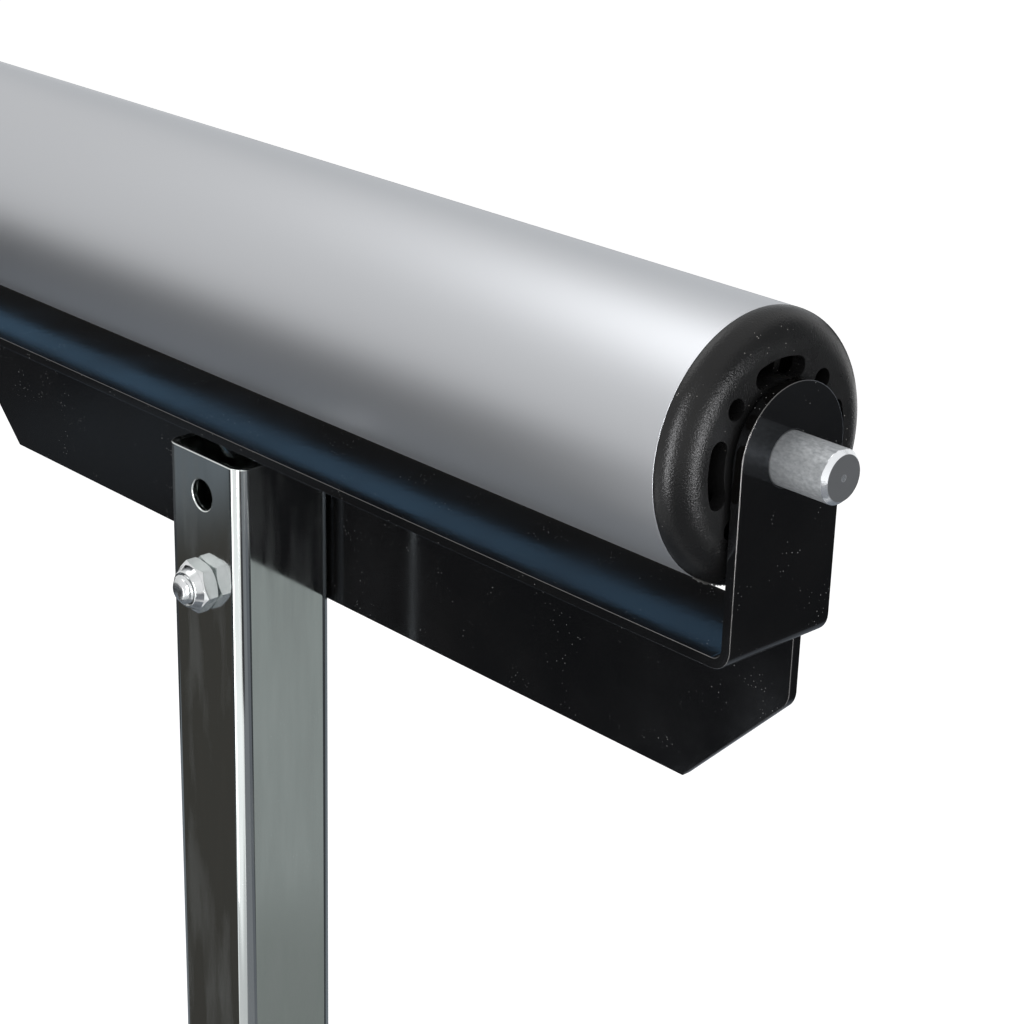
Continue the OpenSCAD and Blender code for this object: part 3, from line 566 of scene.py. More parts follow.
for i in range(rib_count):
    angle = rib_phase + 360 / rib_count * i
    rib = new_piece("rib", bpy.ops.mesh.primitive_cube_add, size=1,
                    location=spoke(angle, (bearing_r + skirt_r) / 2, (hub_end + web_height) / 2),
                    scale=(web_height - hub_end + cap_web / 4, rib_t,
                           skirt_r - bearing_r - hub_wall / 2),
                    rotation=(math.radians(angle), 0, 0))
    ease(rib, rib_t / 3, 3)
    carve(cap, rib, "UNION")
for i in range(slot_count):
    start = slot_phase + 360 / slot_count * i
    slot = new_piece("slot", bpy.ops.mesh.primitive_plane_add, size=1,
                     location=spoke(start + slot_span / 2, slot_ring_r, web_height + cap_web / 2),
                     scale=(2 * cap_web, 2 * slot_r, 1),
                     rotation=(math.radians(start + slot_span / 2 + 90), 0, 0))
    edit(slot, "FACE")
    bpy.ops.mesh.select_all(action="SELECT")
    bpy.ops.mesh.spin(steps=12, angle=math.radians(slot_span),
                      center=(tube_high.x, axis.y, axis.z), axis=(1, 0, 0))
    bpy.ops.mesh.select_all(action="SELECT")
    bpy.ops.mesh.normals_make_consistent(inside=False)
    done()
    carve(cap, slot)
    for angle in (start - slot_span / 2, start + slot_span / 2, start + 180 / slot_count):
        drill(cap, slot_r, spoke(angle, slot_ring_r, web_height - cap_web / 2),
              spoke(angle, slot_ring_r, cap_out + cap_web), 32)
ease(cap, cap_edge, 2, 40)
left_cap = cap.copy()
left_cap.data = cap.data.copy()
left_cap.name = "cap_left"
bpy.context.scene.collection.objects.link(left_cap)
left_cap.matrix_world = Matrix.Translation((axis.x, axis.y, 0)) @ Matrix.Rotation(
    math.radians(180), 4, "Z") @ Matrix.Translation((-axis.x, -axis.y, 0))
alone(left_cap)
bpy.ops.object.transform_apply(location=True, rotation=True, scale=True)
settle(cap, cap_plastic, "roller", "cap_plastic", "end_cap_right")
settle(left_cap, cap_plastic, "roller", "cap_plastic", "end_cap_left")

# Moulding flash. A ragged, whitish skin of plastic that the mould left at the seam under the
# right cap. It is part of the cap's moulding and turns with the roller.
flash_from, flash_to = -34, -4
flash_w, flash_t = 0.0007, 0.00008
flash_near, flash_far = 0.0002, 0.0005
rag_size, rag_deep = 0.0008, 0.0012
flash_plastic = finish("flash_plastic", (0.45, 0.45, 0.44), (0.20, 0.20, 0.19), metallic=0,
                       rough=(0.5, 0.6), bump=(0.3, 0.00003), patch=900, grain=1500)
flash = turned("flash", [(tube_r - flash_w / 2, flash_near), (tube_r + flash_w / 2, flash_far)],
               (tube_high.x, axis.y, axis.z), (tube_high.x + 1, axis.y, axis.z), 480)
pick(flash, "FACE", lambda c: not (
    c.z < axis.z and flash_from < math.degrees(math.atan2(c.y - axis.y, axis.z - c.z)) < flash_to))
bpy.ops.mesh.delete(type="FACE")
done()
ragged_edge = bpy.data.textures.new("ragged_edge", "CLOUDS")
ragged_edge.noise_scale = rag_size
modify(flash, "DISPLACE", texture=ragged_edge, strength=rag_deep, mid_level=0.5, direction="Z",
       texture_coords="LOCAL")
modify(flash, "SOLIDIFY", thickness=flash_t, offset=0)
settle(flash, flash_plastic, "roller", "cap_plastic")

# Axle. A 12 mm bar, zinc plated dull grey, with a coarse turned chamfer at each end and a
# shallow mark of the lathe's centre. The chamfers are cut bright, and the end faces are
# coloured dark grey.
axle_r = (axle_high.z - axle_low.z) / 2
axle_len = axle_high.x - axle_low.x
chamfer, soft = 0.001, 0.0001
centre_r, centre_deep = 0.0009, 0.0003
ring_in, ring_ragged, border = 0.00038, 0.0009, 0.00003
axle_steel = finish("axle_steel", (0.53, 0.55, 0.565), (0.32, 0.335, 0.35), metallic=0.25,
                    rough=(0.38, 0.55), bump=(0.35, 0.00004), patch=1500, grain=2400,
                    stretch=(0.6, 1, 1))
tree = axle_steel.node_tree
shader = tree.nodes["Principled BSDF"]
place = add(tree, "ShaderNodeTexCoord").outputs["Object"]
split = add(tree, "ShaderNodeSeparateXYZ", {0: place})
centred = add(tree, "ShaderNodeMath", {0: split.outputs["X"], 1: axis.x}, operation="SUBTRACT")
along = add(tree, "ShaderNodeMath", {0: centred.outputs[0]}, operation="ABSOLUTE").outputs[0]
ragged = add(tree, "ShaderNodeTexNoise", {"Vector": place, "Scale": 700})
uneven = add(tree, "ShaderNodeMath", {0: ragged.outputs["Fac"], 1: ring_ragged, 2: along},
             operation="MULTIPLY_ADD").outputs[0]
tone = shader.inputs["Base Color"].links[0].from_socket
rough = shader.inputs["Roughness"].links[0].from_socket
metal = shader.inputs["Metallic"].default_value
for source, start, end_tone, end_rough, end_metal in (
        (uneven, axle_len / 2 - chamfer + ring_in, (0.80, 0.82, 0.84, 1), 0.24, 1),
        (along, axle_len / 2 - border, (0.125, 0.132, 0.140, 1), 0.45, 0.1)):
    beyond = add(tree, "ShaderNodeMapRange", {
        "Value": source, "From Min": start - border, "From Max": start}).outputs["Result"]
    tone = blend(tree, "RGBA", beyond, tone, end_tone)
    rough = blend(tree, "FLOAT", beyond, rough, end_rough)
    metal = blend(tree, "FLOAT", beyond, metal, end_metal)
for socket, value in (("Base Color", tone), ("Roughness", rough), ("Metallic", metal)):
    tree.links.new(value, shader.inputs[socket])
axle = turned("axle_bar", [
    (0, centre_deep), (centre_r, 0), (axle_r - chamfer, 0), (axle_r - soft, chamfer),
    (axle_r, chamfer + soft), (axle_r, axle_len - chamfer - soft),
    (axle_r - soft, axle_len - chamfer), (axle_r - chamfer, axle_len), (centre_r, axle_len),
    (0, axle_len - centre_deep)],
    (axle_low.x, axis.y, axis.z), (axle_high.x, axis.y, axis.z), 96)
settle(axle, axle_steel, "head", "axle_steel", "axle")

# Bearings, retaining rings and bushes sit inside the caps, where the slots and the gap at the
# ear just show them. Their shapes are right as they are and only need their finishes.
spring_steel = finish("spring_steel", (0.12, 0.12, 0.125), (0.16, 0.16, 0.165), metallic=1,
                      rough=(0.3, 0.42), bump=(0.15, 0.00002), patch=300, grain=1500)
bearing_steel = finish("bearing_steel", (0.58, 0.58, 0.59), (0.52, 0.52, 0.53), metallic=1,
                       rough=(0.16, 0.24), bump=(0.08, 0.00002), patch=200, grain=1800)
shield_rubber = finish("shield_rubber", (0.02, 0.02, 0.021), (0.028, 0.028, 0.028), metallic=0,
                       rough=(0.5, 0.6), bump=(0.2, 0.00003), patch=200, grain=1500)
cage_nylon = finish("cage_nylon", (0.42, 0.28, 0.11), (0.48, 0.33, 0.14), metallic=0,
                    rough=(0.45, 0.55), bump=(0.2, 0.00003), patch=200, grain=1500)


def dress(material, *names):
    for name in names:
        nodes[name].data.materials.clear()
        nodes[name].data.materials.append(material)


dress(spring_steel, "axle_clips")
dress(bearing_steel, "spacer_bushes", "bearing_outer_rings", "bearing_inner_rings",
      "bearing_balls_right", "bearing_balls_left")
dress(shield_rubber, "bearing_shields")
dress(cage_nylon, "bearing_cage_right", "bearing_cage_left")

# Bolts and locking nuts. Bright zinc, with hexagons chamfered at 30 degrees, a rolled thread
# that shows beyond the nuts, and a round crimped collar on each nut.
zinc_bolt = finish("zinc_bolt", (0.70, 0.71, 0.72), (0.56, 0.58, 0.58), metallic=1,
                   rough=(0.15, 0.27), bump=(0.12, 0.00003), patch=260, grain=1500)
origin, up = (0, 0, 0), (0, 0, 1)
flats = 0.0126
face_share, clear_share = 0.94, 1.01
pitch = 0.00125
thread_deep = 0.00075
thread_fit = 0.00005
washer_r, washer_t = 0.008, 0.0016
washer_back_edge, washer_front_edge = 0.0002, 0.0004
head_h = 0.0053
head_thread, bolt_tip = 0.012, 0.0011
neck_in, neck_z, run_out = 0.0003, 0.0002, 0.0004
nut_hex, nut_collar = 0.0044, 0.002
collar_wide_share, collar_narrow_share = 0.96, 0.80
collar_round, collar_mouth = 0.0006, 0.0005
bolt_edge, nut_edge = 0.00012, 0.00015


def hexagon(name, width, height, both_ends):
    """A hexagon from z = 0 upwards, chamfered at the top or at both ends."""
    corner = width / 2 / math.cos(math.radians(30))
    face_r = face_share * width / 2
    outside = corner * clear_share
    slope = (corner - face_r) * math.tan(math.radians(30))
    low = slope if both_ends else 0
    piece = new_piece(name, bpy.ops.mesh.primitive_cylinder_add, vertices=6, radius=corner,
                      depth=height, location=(0, 0, height / 2))
    limit = turned("limit", [
        (0, 0), (face_r if both_ends else outside, 0), (outside, low),
        (outside, height - slope), (face_r, height), (0, height)], origin, up, 72)
    carve(piece, limit, "INTERSECT")
    return piece


def threaded(name, radius, step, start, end, tip):
    """A threaded rod along z from start to end, with a chamfered tip."""
    root = radius - thread_deep * step / pitch
    turns = math.ceil((end - start) / step) + 2
    piece = new_piece(name, bpy.ops.mesh.primitive_plane_add, size=0.001)
    edit(piece, "VERT")
    bpy.ops.mesh.select_all(action="SELECT")
    bpy.ops.mesh.merge(type="CENTER")
    bpy.ops.transform.translate(value=(root, 0, start - step))
    flank, crest = 0.44 * step, 0.12 * step
    for move in ((radius - root, 0, flank), (0, 0, crest), (root - radius, 0, flank)):
        bpy.ops.mesh.extrude_vertices_move(TRANSFORM_OT_translate={"value": move})
    done()
    modify(piece, "SCREW", angle=math.radians(360), screw_offset=step, iterations=turns,
           steps=32, render_steps=32, use_merge_vertices=True, merge_threshold=0.000002)
    edit(piece, "VERT")
    bpy.ops.mesh.select_all(action="SELECT")
    bpy.ops.mesh.remove_doubles(threshold=0.000002)
    bpy.ops.mesh.select_all(action="DESELECT")
    bpy.ops.mesh.select_mode(type="EDGE")
    bpy.ops.mesh.select_non_manifold()
    bpy.ops.mesh.fill_holes(sides=0)
    bpy.ops.mesh.select_all(action="SELECT")
    bpy.ops.mesh.normals_make_consistent(inside=False)
    done()
    outside = radius * clear_share
    limit = turned("limit", [
        (0, start), (outside, start), (outside, end - 1.2 * tip), (radius - tip, end - 0.3 * tip),
        (radius - 1.7 * tip, end), (0, end)], origin, up, 48)
    carve(piece, limit, "INTERSECT")
    return piece


def bolt(name, length, thread):
    """A bolt whose head bears at z = 0 and whose shank points down."""
    piece = hexagon(name, flats, head_h, False)
    plain_end = thread - length
    shank = turned("shank", [
        (0, thread / 2), (bolt_r - neck_in, thread / 2), (bolt_r - neck_in, neck_z), (bolt_r, 0),
        (bolt_r, plain_end), (bolt_r - run_out, plain_end - run_out), (0, plain_end - run_out)],
        origin, up, 48)
    screw = threaded("screw", bolt_r, pitch, 0, thread, bolt_tip)
    screw.matrix_world = Matrix.Translation((0, 0, plain_end)) @ Matrix.Rotation(
        math.radians(180), 4, "X")
    alone(screw)
    bpy.ops.object.transform_apply(location=True, rotation=True, scale=True)
    carve(piece, shank, "UNION")
    carve(piece, screw, "UNION")
    ease(piece, bolt_edge, 2, 25)
    return piece


def lock_nut(name):
    """A locking nut that bears at z = 0, with its collar on top."""
    piece = hexagon(name, flats, nut_hex, True)
    top = nut_hex + nut_collar
    bore_r = bolt_r + thread_fit
    wide, narrow = collar_wide_share * flats / 2, collar_narrow_share * flats / 2
    collar = turned("collar", [
        (bore_r, nut_hex / 2), (wide, nut_hex / 2), (wide, nut_hex),
        *arc(narrow - collar_round, top - collar_round, collar_round, 15, 90, 4),
        (bolt_r + collar_round, top), (bore_r, top - collar_mouth), (bore_r, nut_hex / 2)],
        origin, up, 64)
    bore = new_piece("bore", bpy.ops.mesh.primitive_cylinder_add, vertices=48, radius=bore_r,
                     depth=3 * nut_hex)
    carve(piece, bore)
    carve(piece, collar, "UNION")
    ease(piece, nut_edge, 2, 25)
    return piece


def washer(name):
    """A washer that lies on z = 0, with its edges just rounded."""
    hole = bolt_r + hole_play / 2
    return turned(name, [
        (hole, 0), (washer_r - washer_back_edge, 0), (washer_r, washer_back_edge),
        (washer_r, washer_t - washer_front_edge), (washer_r - washer_front_edge, washer_t),
        (hole, washer_t), (hole, 0)], origin, up, 64)


def placed(pattern, name, point, direction, turn=0):
    """A copy of a piece made at the origin, put at a point with its z along a direction."""
    copy = pattern.copy()
    copy.data = pattern.data.copy()
    copy.name = name
    bpy.context.scene.collection.objects.link(copy)
    copy.matrix_world = Matrix.Translation(point) @ facing(
        origin, direction).to_matrix().to_4x4() @ Matrix.Rotation(math.radians(turn), 4, "Z")
    alone(copy)
    bpy.ops.object.transform_apply(location=True, rotation=True, scale=True)
    return copy


def joined(pieces):
    """Joins like pieces into one object."""
    bpy.ops.object.select_all(action="DESELECT")
    for piece in pieces:
        piece.select_set(True)
    bpy.context.view_layer.objects.active = pieces[0]
    bpy.ops.object.join()
    return pieces[0]


nut_pattern = lock_nut("nut_pattern")
washer_pattern = washer("washer_pattern")
head_bolt_low, head_bolt_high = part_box("head_bolt")
long_bolt = bolt("long_bolt", head_bolt_high.y - head_bolt_low.y - head_h, head_thread)
head_bolt = placed(long_bolt, "hex_bolt", (0, head_bolt_high.y - head_h, bolt_z), (0, 1, 0), 12)
settle(head_bolt, zinc_bolt, "head", "zinc_bolt", "head_bolt")
head_nut = placed(nut_pattern, "locking_nut", (0, nut_high.y, bolt_z), (0, -1, 0), 20)
settle(head_nut, zinc_bolt, "head", "zinc_bolt", "head_nut")
washer_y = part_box("head_washer")[0].y
head_washer = placed(washer_pattern, "bolt_washer", (0, washer_y, bolt_z), (0, 1, 0))
settle(head_washer, zinc_bolt, "head", "zinc_bolt", "head_washer")

# Inner column. Welded square tube, bright zinc plated, so its faces mirror what stands round
# them, a little clouded by handling. The top is sawn off and open.
column_low, column_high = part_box("inner_column")
column_w = column_high.x - column_low.x
column_corner, column_wall = 0.0038, 0.0015
column_edge = 0.00035
zinc_plate = finish("zinc_plate", (0.68, 0.71, 0.70), (0.60, 0.63, 0.62), metallic=1,
                    rough=(0.03, 0.13), bump=(0.05, 0.00004), patch=170, grain=90,
                    stretch=(1, 1, 0.14), speck=(0.9, 0.92, 0.95), film=0.06)


def square_tube(name, width, corner, wall, bottom, top, segments=10):
    """A square tube along z with round corners, open at both ends."""
    piece = new_piece(name, bpy.ops.mesh.primitive_cube_add, size=1,
                      location=(0, 0, (bottom + top) / 2), scale=(width, width, top - bottom))
    pick(piece, "FACE", lambda c: like(c.z, bottom) or like(c.z, top))
    bpy.ops.mesh.delete(type="FACE")
    done()
    pick(piece, "EDGE", lambda c: like(abs(c.x), width / 2) and like(abs(c.y), width / 2))
    bpy.ops.mesh.bevel(offset=corner, segments=segments, affect="EDGES")
    done()
    modify(piece, "SOLIDIFY", thickness=wall, offset=-1, use_even_offset=True)
    return piece


column = square_tube("bright_column", column_w, column_corner, column_wall, column_low.z,
                     column_high.z, 16)
for z in (bolt_z, spare_z):
    drill(column, bolt_r + hole_play / 2, (0, -column_w, z), (0, column_w, z))
ease(column, column_edge, 3, 50)
settle(column, zinc_plate, "head", "zinc_plate", "inner_column")

# Outer column with its guide sleeve, plug and glide. Painted square tube with a black plastic
# collar pressed into its mouth, in which the bright column slides.
outer_low, outer_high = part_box("outer_column")
outer_w = outer_high.x - outer_low.x
outer_corner, outer_wall = 0.0045, 0.002
guide_plastic = finish("guide_plastic", (0.015, 0.0155, 0.017), (0.022, 0.022, 0.024), metallic=0,
                       rough=(0.42, 0.52), bump=(0.25, 0.00004), patch=120, grain=1300)
clamp_low, clamp_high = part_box("clamp_screw")
clamp_z = (clamp_low.z + clamp_high.z) / 2
clamp_r = (clamp_high.z - clamp_low.z) / 2
leg_bolt_heights = (0.122, 0.172)
bolt_step = 0.013
outer_edge = 0.0004
outer = square_tube("black_column", outer_w, outer_corner, outer_wall, outer_low.z, outer_high.z)
drill(outer, clamp_r + hole_play / 2, (0, -outer_w, clamp_z), (0, 0, clamp_z))
leg_hole_r = bolt_r + hole_play / 2
for z in leg_bolt_heights:
    drill(outer, leg_hole_r, (-outer_w, 0, z), (outer_w, 0, z), 32)
    upper_z = z + bolt_step
    drill(outer, leg_hole_r, (0, -outer_w, upper_z), (0, outer_w, upper_z), 32)
ease(outer, outer_edge, 2, 50)
settle(outer, black_paint, "base", "black_paint", "outer_column")

sleeve_low, sleeve_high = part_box("guide_sleeve")
slide_gap, press_gap = 0.0002, 0.00003
sleeve_overlap, sleeve_edge = 0.001, 0.0008
sleeve_w = sleeve_high.x - sleeve_low.x
collar = square_tube("sleeve_collar", sleeve_w, outer_corner + (sleeve_w - outer_w) / 2,
                     (sleeve_w - column_w) / 2 - slide_gap, outer_high.z, sleeve_high.z)
tongue = square_tube("sleeve_tongue", outer_w - 2 * outer_wall - 2 * press_gap,
                     outer_corner - outer_wall,
                     (outer_w - column_w) / 2 - outer_wall - slide_gap - press_gap,
                     sleeve_low.z, outer_high.z + sleeve_overlap)
carve(collar, tongue, "UNION")
ease(collar, sleeve_edge, 3, 50)
settle(collar, guide_plastic, "base", "guide_plastic", "guide_sleeve")
dress(guide_plastic, "inner_glide", "outer_plug")

# Height clamp. A threaded boss welded to the black column, a 10 mm screw that is moulded into
# a six-lobed knob, and a brass pad that presses on the bright column.
boss_low, boss_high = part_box("clamp_boss")
boss_r = (boss_high.z - boss_low.z) / 2
boss_len = boss_high.y - boss_low.y
boss_bore = clamp_r + 0.00008
boss_chamfer, boss_edge = 0.0012, 0.0003
mouth_out, mouth_deep = 0.0008, 0.0007
bead_r, bead_out = 0.0016, 0.0004
ripple_size, ripple_deep = 0.004, 0.0011
boss = turned("threaded_boss", [
    (boss_bore, 0), (boss_r, 0), (boss_r, boss_len - boss_chamfer),
    (boss_r - boss_chamfer, boss_len), (clamp_r + mouth_out, boss_len),
    (boss_bore, boss_len - mouth_deep), (boss_bore, 0)],
    (0, boss_high.y, clamp_z), (0, boss_low.y, clamp_z), 72)
bead = new_piece("bead", bpy.ops.mesh.primitive_torus_add, major_segments=96, minor_segments=10,
                 major_radius=boss_r + bead_out, minor_radius=bead_r,
                 location=(0, boss_high.y - bead_out, clamp_z), rotation=(math.radians(90), 0, 0))
ripple = bpy.data.textures.new("bead_ripple", "CLOUDS")
ripple.noise_scale = ripple_size
modify(bead, "DISPLACE", texture=ripple, strength=ripple_deep, mid_level=0.5,
       texture_coords="LOCAL")
carve(boss, bead, "UNION")
inside = new_piece("inside", bpy.ops.mesh.primitive_cube_add, size=outer_w,
                   location=(0, 0, clamp_z))
carve(boss, inside)
ease(boss, boss_edge, 2, 40)
settle(boss, black_paint, "base", "black_paint", "clamp_boss")

knob_plastic = finish("knob_plastic", (0.011, 0.011, 0.012), (0.016, 0.016, 0.017), metallic=0,
                      rough=(0.38, 0.5), bump=(0.4, 0.00005), patch=120, grain=1200)
pad_brass = finish("pad_brass", (0.56, 0.38, 0.13), (0.45, 0.29, 0.10), metallic=1,
                   rough=(0.3, 0.42), bump=(0.15, 0.00002), patch=300, grain=1500)
knob_low, knob_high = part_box("clamp_knob")
knob_h, knob_edge = 0.016, 0.0022
lobe_r, valley_r, knob_r = 0.0075, 0.0205, 0.026
lobe_count = 6
lobes_y = knob_low.y + knob_h
knob = new_piece("knob", bpy.ops.mesh.primitive_cylinder_add, vertices=96, radius=valley_r,
                 depth=knob_h, location=(0, knob_low.y + knob_h / 2, clamp_z),
                 rotation=(math.radians(90), 0, 0))
for i in range(lobe_count):
    turn = math.radians(360 / lobe_count * i)
    lobe = new_piece("lobe", bpy.ops.mesh.primitive_cylinder_add, vertices=48, radius=lobe_r,
                     depth=knob_h, rotation=(math.radians(90), 0, 0),
                     location=((knob_r - lobe_r) * math.cos(turn), knob_low.y + knob_h / 2,
                               clamp_z + (knob_r - lobe_r) * math.sin(turn)))
    carve(knob, lobe, "UNION")
edit(knob, "EDGE")
bpy.ops.mesh.select_all(action="SELECT")
bpy.ops.mesh.dissolve_limited(angle_limit=math.radians(2))
done()
ease(knob, knob_edge, 5, 60)
dish_r, dish_deep, dish_clear = 0.0105, 0.0012, 0.003
dish = turned("dish", [
    (0, dish_deep), *arc(dish_r, 0, dish_deep, 90, 0, 5), (dish_r + dish_deep, -dish_clear),
    (0, -dish_clear)], (0, knob_low.y, clamp_z), (0, knob_high.y, clamp_z), 72)
carve(knob, dish)
neck_r, neck_len = 0.010, knob_high.y - lobes_y
neck_root, neck_flare, neck_round = 0.002, 0.001, 0.0008
neck = turned("neck", [
    (0, -neck_root), (neck_r + neck_flare, -neck_root), (neck_r + neck_round / 2, neck_round / 2),
    (neck_r, 2 * neck_round), *arc(neck_r - neck_round, neck_len - neck_round, neck_round, 0, 90, 4),
    (0, neck_len)], (0, lobes_y, clamp_z), (0, knob_high.y, clamp_z), 72)
carve(knob, neck, "UNION")
screw_fit, drill_past = 0.00003, 0.001
drill(knob, clamp_r + screw_fit, (0, clamp_low.y, clamp_z),
      (0, knob_high.y + drill_past, clamp_z), 48)
settle(knob, knob_plastic, "clamp_knob", "knob_plastic", "clamp_knob")

clamp_pitch, clamp_tip = 0.0015, 0.0008
dog_r, dog_len, dog_edge = 0.003, 0.002, 0.0003
thread_end = clamp_high.y - clamp_low.y - dog_len
screw = threaded("screw", clamp_r, clamp_pitch, 0, thread_end, clamp_tip)
dog = turned("dog", [(0, -dog_len), (dog_r, -dog_len), (dog_r, dog_len - dog_edge),
                     (dog_r - dog_edge, dog_len), (0, dog_len)], (0, 0, thread_end), up, 48)
carve(screw, dog, "UNION")
clamp_screw = placed(screw, "screw_m10", (0, clamp_low.y, clamp_z), (0, 1, 0))
bpy.data.objects.remove(screw)
settle(clamp_screw, zinc_bolt, "clamp_knob", "zinc_bolt", "clamp_screw")
dress(pad_brass, "clamp_pad")

# Legs. Four alike pressings in 3 mm sheet: a plate bolted to the black column, a slope with
# its edges folded down for stiffness, and a flat round pad for the foot.
leg_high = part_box("leg_right")[1]
leg_turns = {"right": 0, "rear": 90, "left": 180, "front": 270}
leg_t = 0.003
leg_half = 0.015
leg_from = outer_w / 2
bend_inside = 0.006
leg_bend = bend_inside + leg_t / 2
foot_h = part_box("foot_right")[1].z
foot_r = leg_high.x - leg_half
slope = math.radians(26)
fold_r, fold_z = leg_from + leg_t + bend_inside, 0.105
low_fold_z = foot_h + leg_t + bend_inside
low_fold_r = fold_r + (fold_z - low_fold_z) / math.tan(slope)
plate_x = leg_from + leg_t / 2
pad_z = foot_h + leg_t / 2
run = Vector((fold_r - leg_bend * math.sin(slope), 0, fold_z - leg_bend * math.cos(slope)))
upper = Vector((plate_x, 0, run.z + (run.x - plate_x) * math.tan(slope)))
lower = Vector((run.x + (run.z - pad_z) / math.tan(slope), 0, pad_z))
fold_len = 0.006
lip_upper_z, lip_lower_z = 0.077, 0.0150
lip_back, lip_gap = 0.0057, 0.0003
lip_lower = Vector((low_fold_r - lip_back, 0, lip_lower_z))
leg_corner, leg_edge = 0.008, 0.0005
pad_round_share = 0.999
lip_bend, upper_bend, lower_bend = 0.0022, 0.0042, 0.0017
fold_slack, lip_slack = 0.0003, 0.002
foot_hole_r = 0.00325


def make_leg(name):
    """A leg that points along the X axis, still without its bolt holes."""
    last = Vector((plate_x, 0, upper.z + fold_len))
    piece = new_piece(name, bpy.ops.mesh.primitive_plane_add, size=2,
                      location=(plate_x, 0, (leg_high.z + upper.z + fold_len) / 2),
                      scale=((leg_high.z - upper.z - fold_len) / 2, leg_half, 1),
                      rotation=(0, math.radians(90), 0))
    pick(piece, "EDGE", lambda c: like(c.z, last.z))
    for point in (upper, lower, lower + Vector((fold_len, 0, 0)), Vector((leg_high.x, 0, pad_z))):
        bpy.ops.mesh.extrude_region_move(TRANSFORM_OT_translate={"value": point - last})
        last = point
    done()
    for point in (upper, lower):
        pick(piece, "VERT", lambda c: like(c.x, point.x) and like(c.z, point.z))
        bpy.ops.transform.resize(value=(1, (leg_half - leg_t / 2) / leg_half, 1),
                                 center_override=point)
        done()
    middle = (upper + lower) / 2
    pick(piece, "EDGE", lambda c: like(c.x, middle.x) and abs(c.y) > leg_t)
    bpy.ops.mesh.extrude_region_move(
        TRANSFORM_OT_translate={"value": (0, 0, lip_upper_z - upper.z)})
    done()
    pick(piece, "VERT", lambda c: like(c.z, lower.z + lip_upper_z - upper.z))
    bpy.ops.transform.translate(value=(lip_lower.x - lower.x, 0,
                                       lip_lower.z - lower.z - lip_upper_z + upper.z))
    done()
    pick(piece, "VERT", lambda c: like(c.z, lip_upper_z))
    bpy.ops.transform.translate(value=(leg_from - plate_x + lip_gap, 0, 0))
    done()
    pick(piece, "VERT", lambda c: like(c.z, leg_high.z))
    bpy.ops.mesh.bevel(offset=leg_corner, segments=8, affect="VERTICES")
    done()
    pick(piece, "VERT", lambda c: like(c.x, leg_high.x))
    bpy.ops.mesh.bevel(offset=leg_half * pad_round_share, segments=12, affect="VERTICES")
    done()
    pick(piece, "EDGE", lambda c: like(c.x, middle.x) and like(abs(c.y), leg_half - leg_t / 2)
         and c.z > middle.z - lip_slack)
    bpy.ops.mesh.bevel(offset=lip_bend, segments=4, affect="EDGES")
    done()
    for point, bend, segments in ((upper, upper_bend, 5), (lower, lower_bend, 4)):
        pick(piece, "EDGE", lambda c: like(c.x, point.x, fold_slack)
             and like(c.z, point.z, fold_slack) and like(c.y, 0))
        bpy.ops.mesh.bevel(offset=bend, segments=segments, affect="EDGES")
        done()
    edit(piece, "EDGE")
    bpy.ops.mesh.select_all(action="SELECT")
    bpy.ops.mesh.remove_doubles(threshold=0.00001)
    bpy.ops.mesh.normals_make_consistent(inside=False)
    done()
    modify(piece, "SOLIDIFY", thickness=leg_t, offset=0, use_even_offset=True)
    drill(piece, foot_hole_r, (foot_r, 0, 0), (foot_r, 0, foot_h + 3 * leg_t), 32)
    return piece


for name, turn in leg_turns.items():
    leg = make_leg("pressed_leg_" + name)
    raised = bolt_step if name in ("rear", "front") else 0
    for height in leg_bolt_heights:
        z = height + raised
        drill(leg, leg_hole_r, (0, 0, z), (plate_x + 2 * leg_t, 0, z), 32)
    ease(leg, leg_edge, 2, 40)
    leg.rotation_euler = (0, 0, math.radians(turn))
    bpy.ops.object.transform_apply(location=True, rotation=True, scale=True)
    settle(leg, black_paint, "base", "black_paint", "leg_" + name)

# Leg fasteners. Two long bolts run through each pair of opposite legs and the black column,
# with washers under the heads and under the locking nuts. Each was left at its own angle,
# which is worked out here from its height.
leg_bolt_len, leg_thread = 0.060, 0.016
head_turn_per_m, nut_turn_per_m = 8000, 11000
leg_bolt_pattern = bolt("leg_bolt_pattern", leg_bolt_len, leg_thread)
grip = leg_from + leg_t
bolts, washers, nuts = [], [], []
for height in leg_bolt_heights:
    for way, z in ((Vector((1, 0, 0)), height), (Vector((0, -1, 0)), height + bolt_step)):
        spot = Vector((0, 0, z))
        seat = way * (grip + washer_t)
        bolts.append(placed(leg_bolt_pattern, "leg_hex_bolts", spot + seat, way,
                            head_turn_per_m * z))
        washers.append(placed(washer_pattern, "leg_bolt_washers", spot + way * grip, way))
        washers.append(placed(washer_pattern, "leg_bolt_washers", spot - way * grip, -way))
        nuts.append(placed(nut_pattern, "leg_locking_nuts", spot - seat, -way,
                           nut_turn_per_m * z))
for pieces, node in ((bolts, "leg_bolts"), (washers, "leg_washers"), (nuts, "leg_nuts")):
    settle(joined(pieces), zinc_bolt, "base", "zinc_bolt", node)
for pattern in (nut_pattern, washer_pattern, long_bolt, leg_bolt_pattern):
    bpy.data.objects.remove(pattern)

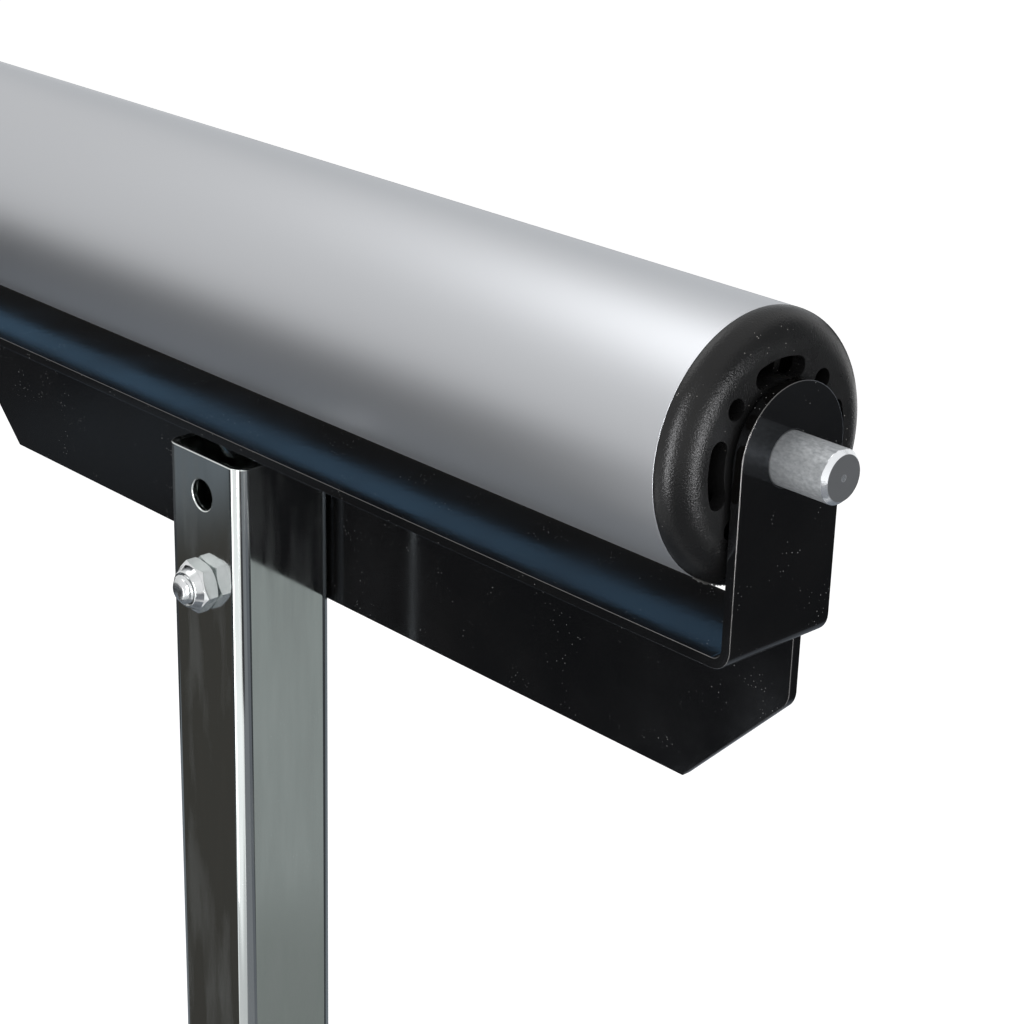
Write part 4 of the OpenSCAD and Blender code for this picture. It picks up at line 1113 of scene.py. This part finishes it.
# Feet. Rubber mouldings with two grooves round each, held by a screw whose head is sunk in
# the sole and by a nut on the leg's pad.
foot_rubber = finish("foot_rubber", (0.016, 0.016, 0.016), (0.026, 0.025, 0.024), metallic=0,
                     rough=(0.62, 0.78), bump=(0.4, 0.00008), patch=90, grain=900,
                     speck=(0.22, 0.21, 0.19))
sole_r, top_r = 0.016, 0.013
sole_in, sole_round, top_round = 0.0012, 0.0010, 0.0015
sink_r, sink_h = 0.007, 0.006
screw_hole_r = 0.00308
groove_deep = 0.0007
groove_shares = (0.30, 0.36, 0.42, 0.60, 0.66, 0.72)
grooves = [(sole_r + (top_r - sole_r) * share - (groove_deep if i % 3 == 1 else 0),
            foot_h * share) for i, share in enumerate(groove_shares)]


def foot_spot(turn, z):
    """The point of a foot's middle at that turn and height."""
    angle = math.radians(turn)
    return Vector((foot_r * math.cos(angle), foot_r * math.sin(angle), z))


for name, turn in leg_turns.items():
    rubber = turned("rubber_foot_" + name, [
        (sink_r, 0), (sole_r - sole_in, 0),
        *arc(sole_r - sole_round, sole_round, sole_round, -70, 10, 4), *grooves,
        *arc(top_r - top_round, foot_h - top_round, top_round, 10, 90, 5),
        (screw_hole_r, foot_h), (screw_hole_r, sink_h), (sink_r, sink_h), (sink_r, 0)],
        foot_spot(turn, 0), foot_spot(turn, 1), 72)
    settle(rubber, foot_rubber, "base", "foot_rubber", "foot_" + name)

foot_nut_flats, foot_nut_h, foot_nut_bore = 0.010, 0.005, 0.00303
foot_nut = hexagon("foot_nut", foot_nut_flats, foot_nut_h, True)
bore = new_piece("bore", bpy.ops.mesh.primitive_cylinder_add, vertices=32,
                 radius=foot_nut_bore, depth=6 * foot_nut_h)
carve(foot_nut, bore)
ease(foot_nut, nut_edge, 2, 25)
foot_screw_r, foot_pitch = 0.003, 0.001
foot_screw_len, foot_tip = 0.0195, 0.0006
foot_head_r, foot_head_h, foot_head_edge = 0.006, 0.0036, 0.0006
foot_neck_r, foot_root_r, foot_root_h = 0.0029, 0.0025, 0.001
foot_nuts = [placed(foot_nut, "foot_hex_nuts", foot_spot(turn, foot_h + leg_t), up, turn / 3 + 9)
             for turn in leg_turns.values()]
settle(joined(foot_nuts), zinc_bolt, "base", "zinc_bolt", "foot_nuts")
foot_screw = threaded("foot_screw", foot_screw_r, foot_pitch, 0, foot_screw_len, foot_tip)
foot_head = turned("foot_head", [
    (0, -foot_head_h), (foot_head_r - foot_head_edge, -foot_head_h),
    (foot_head_r, foot_head_edge - foot_head_h), (foot_head_r, 0), (foot_neck_r, 0),
    (foot_root_r, foot_root_h), (0, foot_root_h)], origin, up, 48)
carve(foot_screw, foot_head, "UNION")
foot_screws = [placed(foot_screw, "foot_machine_screws", foot_spot(turn, sink_h), up)
               for turn in leg_turns.values()]
settle(joined(foot_screws), zinc_bolt, "base", "zinc_bolt", "foot_screws")
for pattern in (foot_nut, foot_screw):
    bpy.data.objects.remove(pattern)
